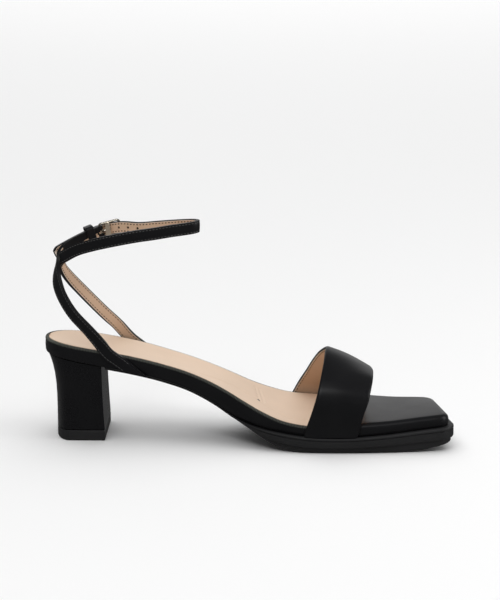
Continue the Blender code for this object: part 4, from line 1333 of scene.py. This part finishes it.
def make_keeper():
    path = smooth_path(buckle_strap_path(), 0.001)[:, :3]
    centre = keeper_middle()
    k = int(np.argmin(np.linalg.norm(path - np.array(centre), axis=1)))
    along = Vector(path[k + 3] - path[k - 3]).normalized()
    out = along.cross(UP).normalized() * -1
    up = out.cross(along).normalized() * -1
    inner = STRAP_THICKNESS / 2 + 2 * CLEARANCE
    depth = STRAP_THICKNESS * 1.5 + 5 * CLEARANCE
    tall = STRAP_WIDTH / 2 + 3 * CLEARANCE
    corners = [(-inner, -tall), (depth, -tall), (depth, tall), (-inner, tall)]
    ring = []
    for n, corner in enumerate(corners):
        ring.extend(fillet(corners[n - 1], corner, corners[(n + 1) % 4], KEEPER_CORNER, 7).tolist())
    ring = np.array(ring)
    steps = np.linspace(-KEEPER_LENGTH / 2, KEEPER_LENGTH / 2, 7)
    grid = np.array([[centre + along * s + out * u + up * v for s in steps] for u, v in ring])
    ahead = np.roll(ring, -1, axis=0) - np.roll(ring, 1, axis=0)
    normal = np.stack([ahead[:, 1], -ahead[:, 0]], axis=1)
    normal /= np.linalg.norm(normal, axis=1)[:, None]
    facing = np.array([[out * a + up * b for s in steps] for a, b in normal])
    band = slab("leather_keeper", grid, facing, 0.0, KEEPER_WALL, black_leather, closed=True)
    return soften(band, 0.0003, segments=3)


leather_keeper = make_keeper()
print("keeper:", len(leather_keeper.data.polygons), "faces")

# %% [markdown]
# ### The buckle's flat bar
# The bar across the buckle's middle is broad and flat on its inner side, where the photograph
# shows it. It widens downwards.

# %% Flat face of the bar
BAR_FACE = ((0.0129, 0.1246), (0.0154, 0.1247), (0.0170, 0.1174), (0.0135, 0.1174))
BAR_INNER = 0.0146
BAR_DEPTH = 0.0007


def make_bar_face():
    points = [(x, y, z) for y in (BAR_INNER, BAR_INNER + BAR_DEPTH) for x, z in BAR_FACE]
    faces = [(3, 2, 1, 0), (4, 5, 6, 7)] + [(k, (k + 1) % 4, 4 + (k + 1) % 4, 4 + k) for k in range(4)]
    bar = finish_mesh(new_object("buckle_bar_face", points, faces, brushed_gold))
    return settle(soften(bar, 0.0002))


bar_face = make_bar_face()

# %% [markdown]
# ## Finishes for the rigid pieces
# The heel block, its walking piece and the buckle keep their solids' form. They only get a finish,
# in their own material slots.

# %% Dress the solids that stay
for node, finish in (("heel_block", heel_leather), ("heel_top_piece", sole_rubber),
                     ("buckle_frame", pale_gold), ("buckle_prong", pale_gold)):
    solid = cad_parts[node]
    for slot in solid.material_slots:
        slot.material = finish

# %% Fasten every piece to the shoe
PIECES = (
    (moulded_sole, "black_rubber", "outsole"),
    (footbed_wrap, "black_leather", "footbed"),
    (notched_edge, "black_leather", None),
    (tan_sock, "tan_lining", "insole_sock"),
    (toe_upper, "black_leather", "vamp_strap"),
    (toe_lining, "tan_lining", None),
    (toe_stitches, "tan_lining", None),
    (short_skins[0], "black_leather", "ankle_strap"),
    (short_skins[1], "tan_lining", None),
    (long_skins[0], "black_leather", None),
    (long_skins[1], "tan_lining", None),
    (fold, "black_leather", None),
    (turned_end, "black_leather", None),
    (outer_stitches, "black_leather", None),
    (inner_stitches, "tan_lining", None),
    (leather_keeper, "black_leather", "strap_keeper"),
    (bar_face, "pale_metal", None),
)
for piece, slot_name, node in PIECES:
    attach(piece, "root")
    if node:
        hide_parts(node)
print(len(PIECES), "pieces ride on the shoe")

# %% [markdown]
# ## Floor and light
# The photograph has a bright studio floor that runs into a bright background. One large soft light
# from above and behind makes the soft shadow in front. A small one in front and one at the toe give
# the leather its sheen, and the toe pad mirrors a bright backdrop. Leather this dark would mirror the
# floor too, so the floor and the ceiling light stay out of its reflections.

# %% Bright floor
FLOOR_HALF = 6.0


def make_floor():
    corners = [(x * FLOOR_HALF, y * FLOOR_HALF, 0.0) for x, y in ((-1, -1), (1, -1), (1, 1), (-1, 1))]
    paper = Finish("pale studio paper", Roughness=0.9, Specular_IOR_Level=0.1)
    cloud = paper.noise(0.8)
    paper.feed("Base Color", paper.between((0.90, 0.90, 0.90), (0.91, 0.91, 0.91), cloud))
    return new_object("studio_floor", corners, [(0, 1, 2, 3)], paper.material)


floor = make_floor()
floor.visible_glossy = False

# %% Soft light
FILL_STRENGTH = 0.12


def soft_light(name, place, aim, size, power):
    """A rectangular lamp that the camera doesn't see."""
    lamp = bpy.data.lights.new(name, "AREA")
    lamp.shape = "RECTANGLE"
    lamp.size, lamp.size_y = size
    lamp.energy = power
    item = placed(name, lamp)
    item.location = place
    item.rotation_euler = (Vector(place) - Vector(aim)).to_track_quat("Z", "Y").to_euler()
    item.visible_camera = False
    return item


ceiling = soft_light("ceiling", (0.10, 1.50, 3.00), aim=(0.10, 1.50, 0.0), size=(5.0, 7.0), power=152.0)
ceiling.visible_glossy = False
soft_light("front softbox", (-0.10, -1.10, 1.25), aim=(0.10, 0.0, 0.04), size=(0.8, 0.4), power=5.0)
soft_light("backdrop", (0.10, 3.20, 1.05), aim=(0.10, 0.0, 0.60), size=(4.0, 2.0), power=16.0)
soft_light("toe side", (1.10, -0.10, 0.50), aim=(0.10, 0.0, 0.05), size=(0.5, 0.7), power=3.0)
world = bpy.data.worlds.new("studio")
world.use_nodes = True
background = world.node_tree.nodes["Background"]
background.inputs["Color"].default_value = (1.0, 1.0, 1.0, 1.0)
background.inputs["Strength"].default_value = FILL_STRENGTH
bpy.context.scene.world = world
bpy.context.scene.view_settings.view_transform = "Standard"
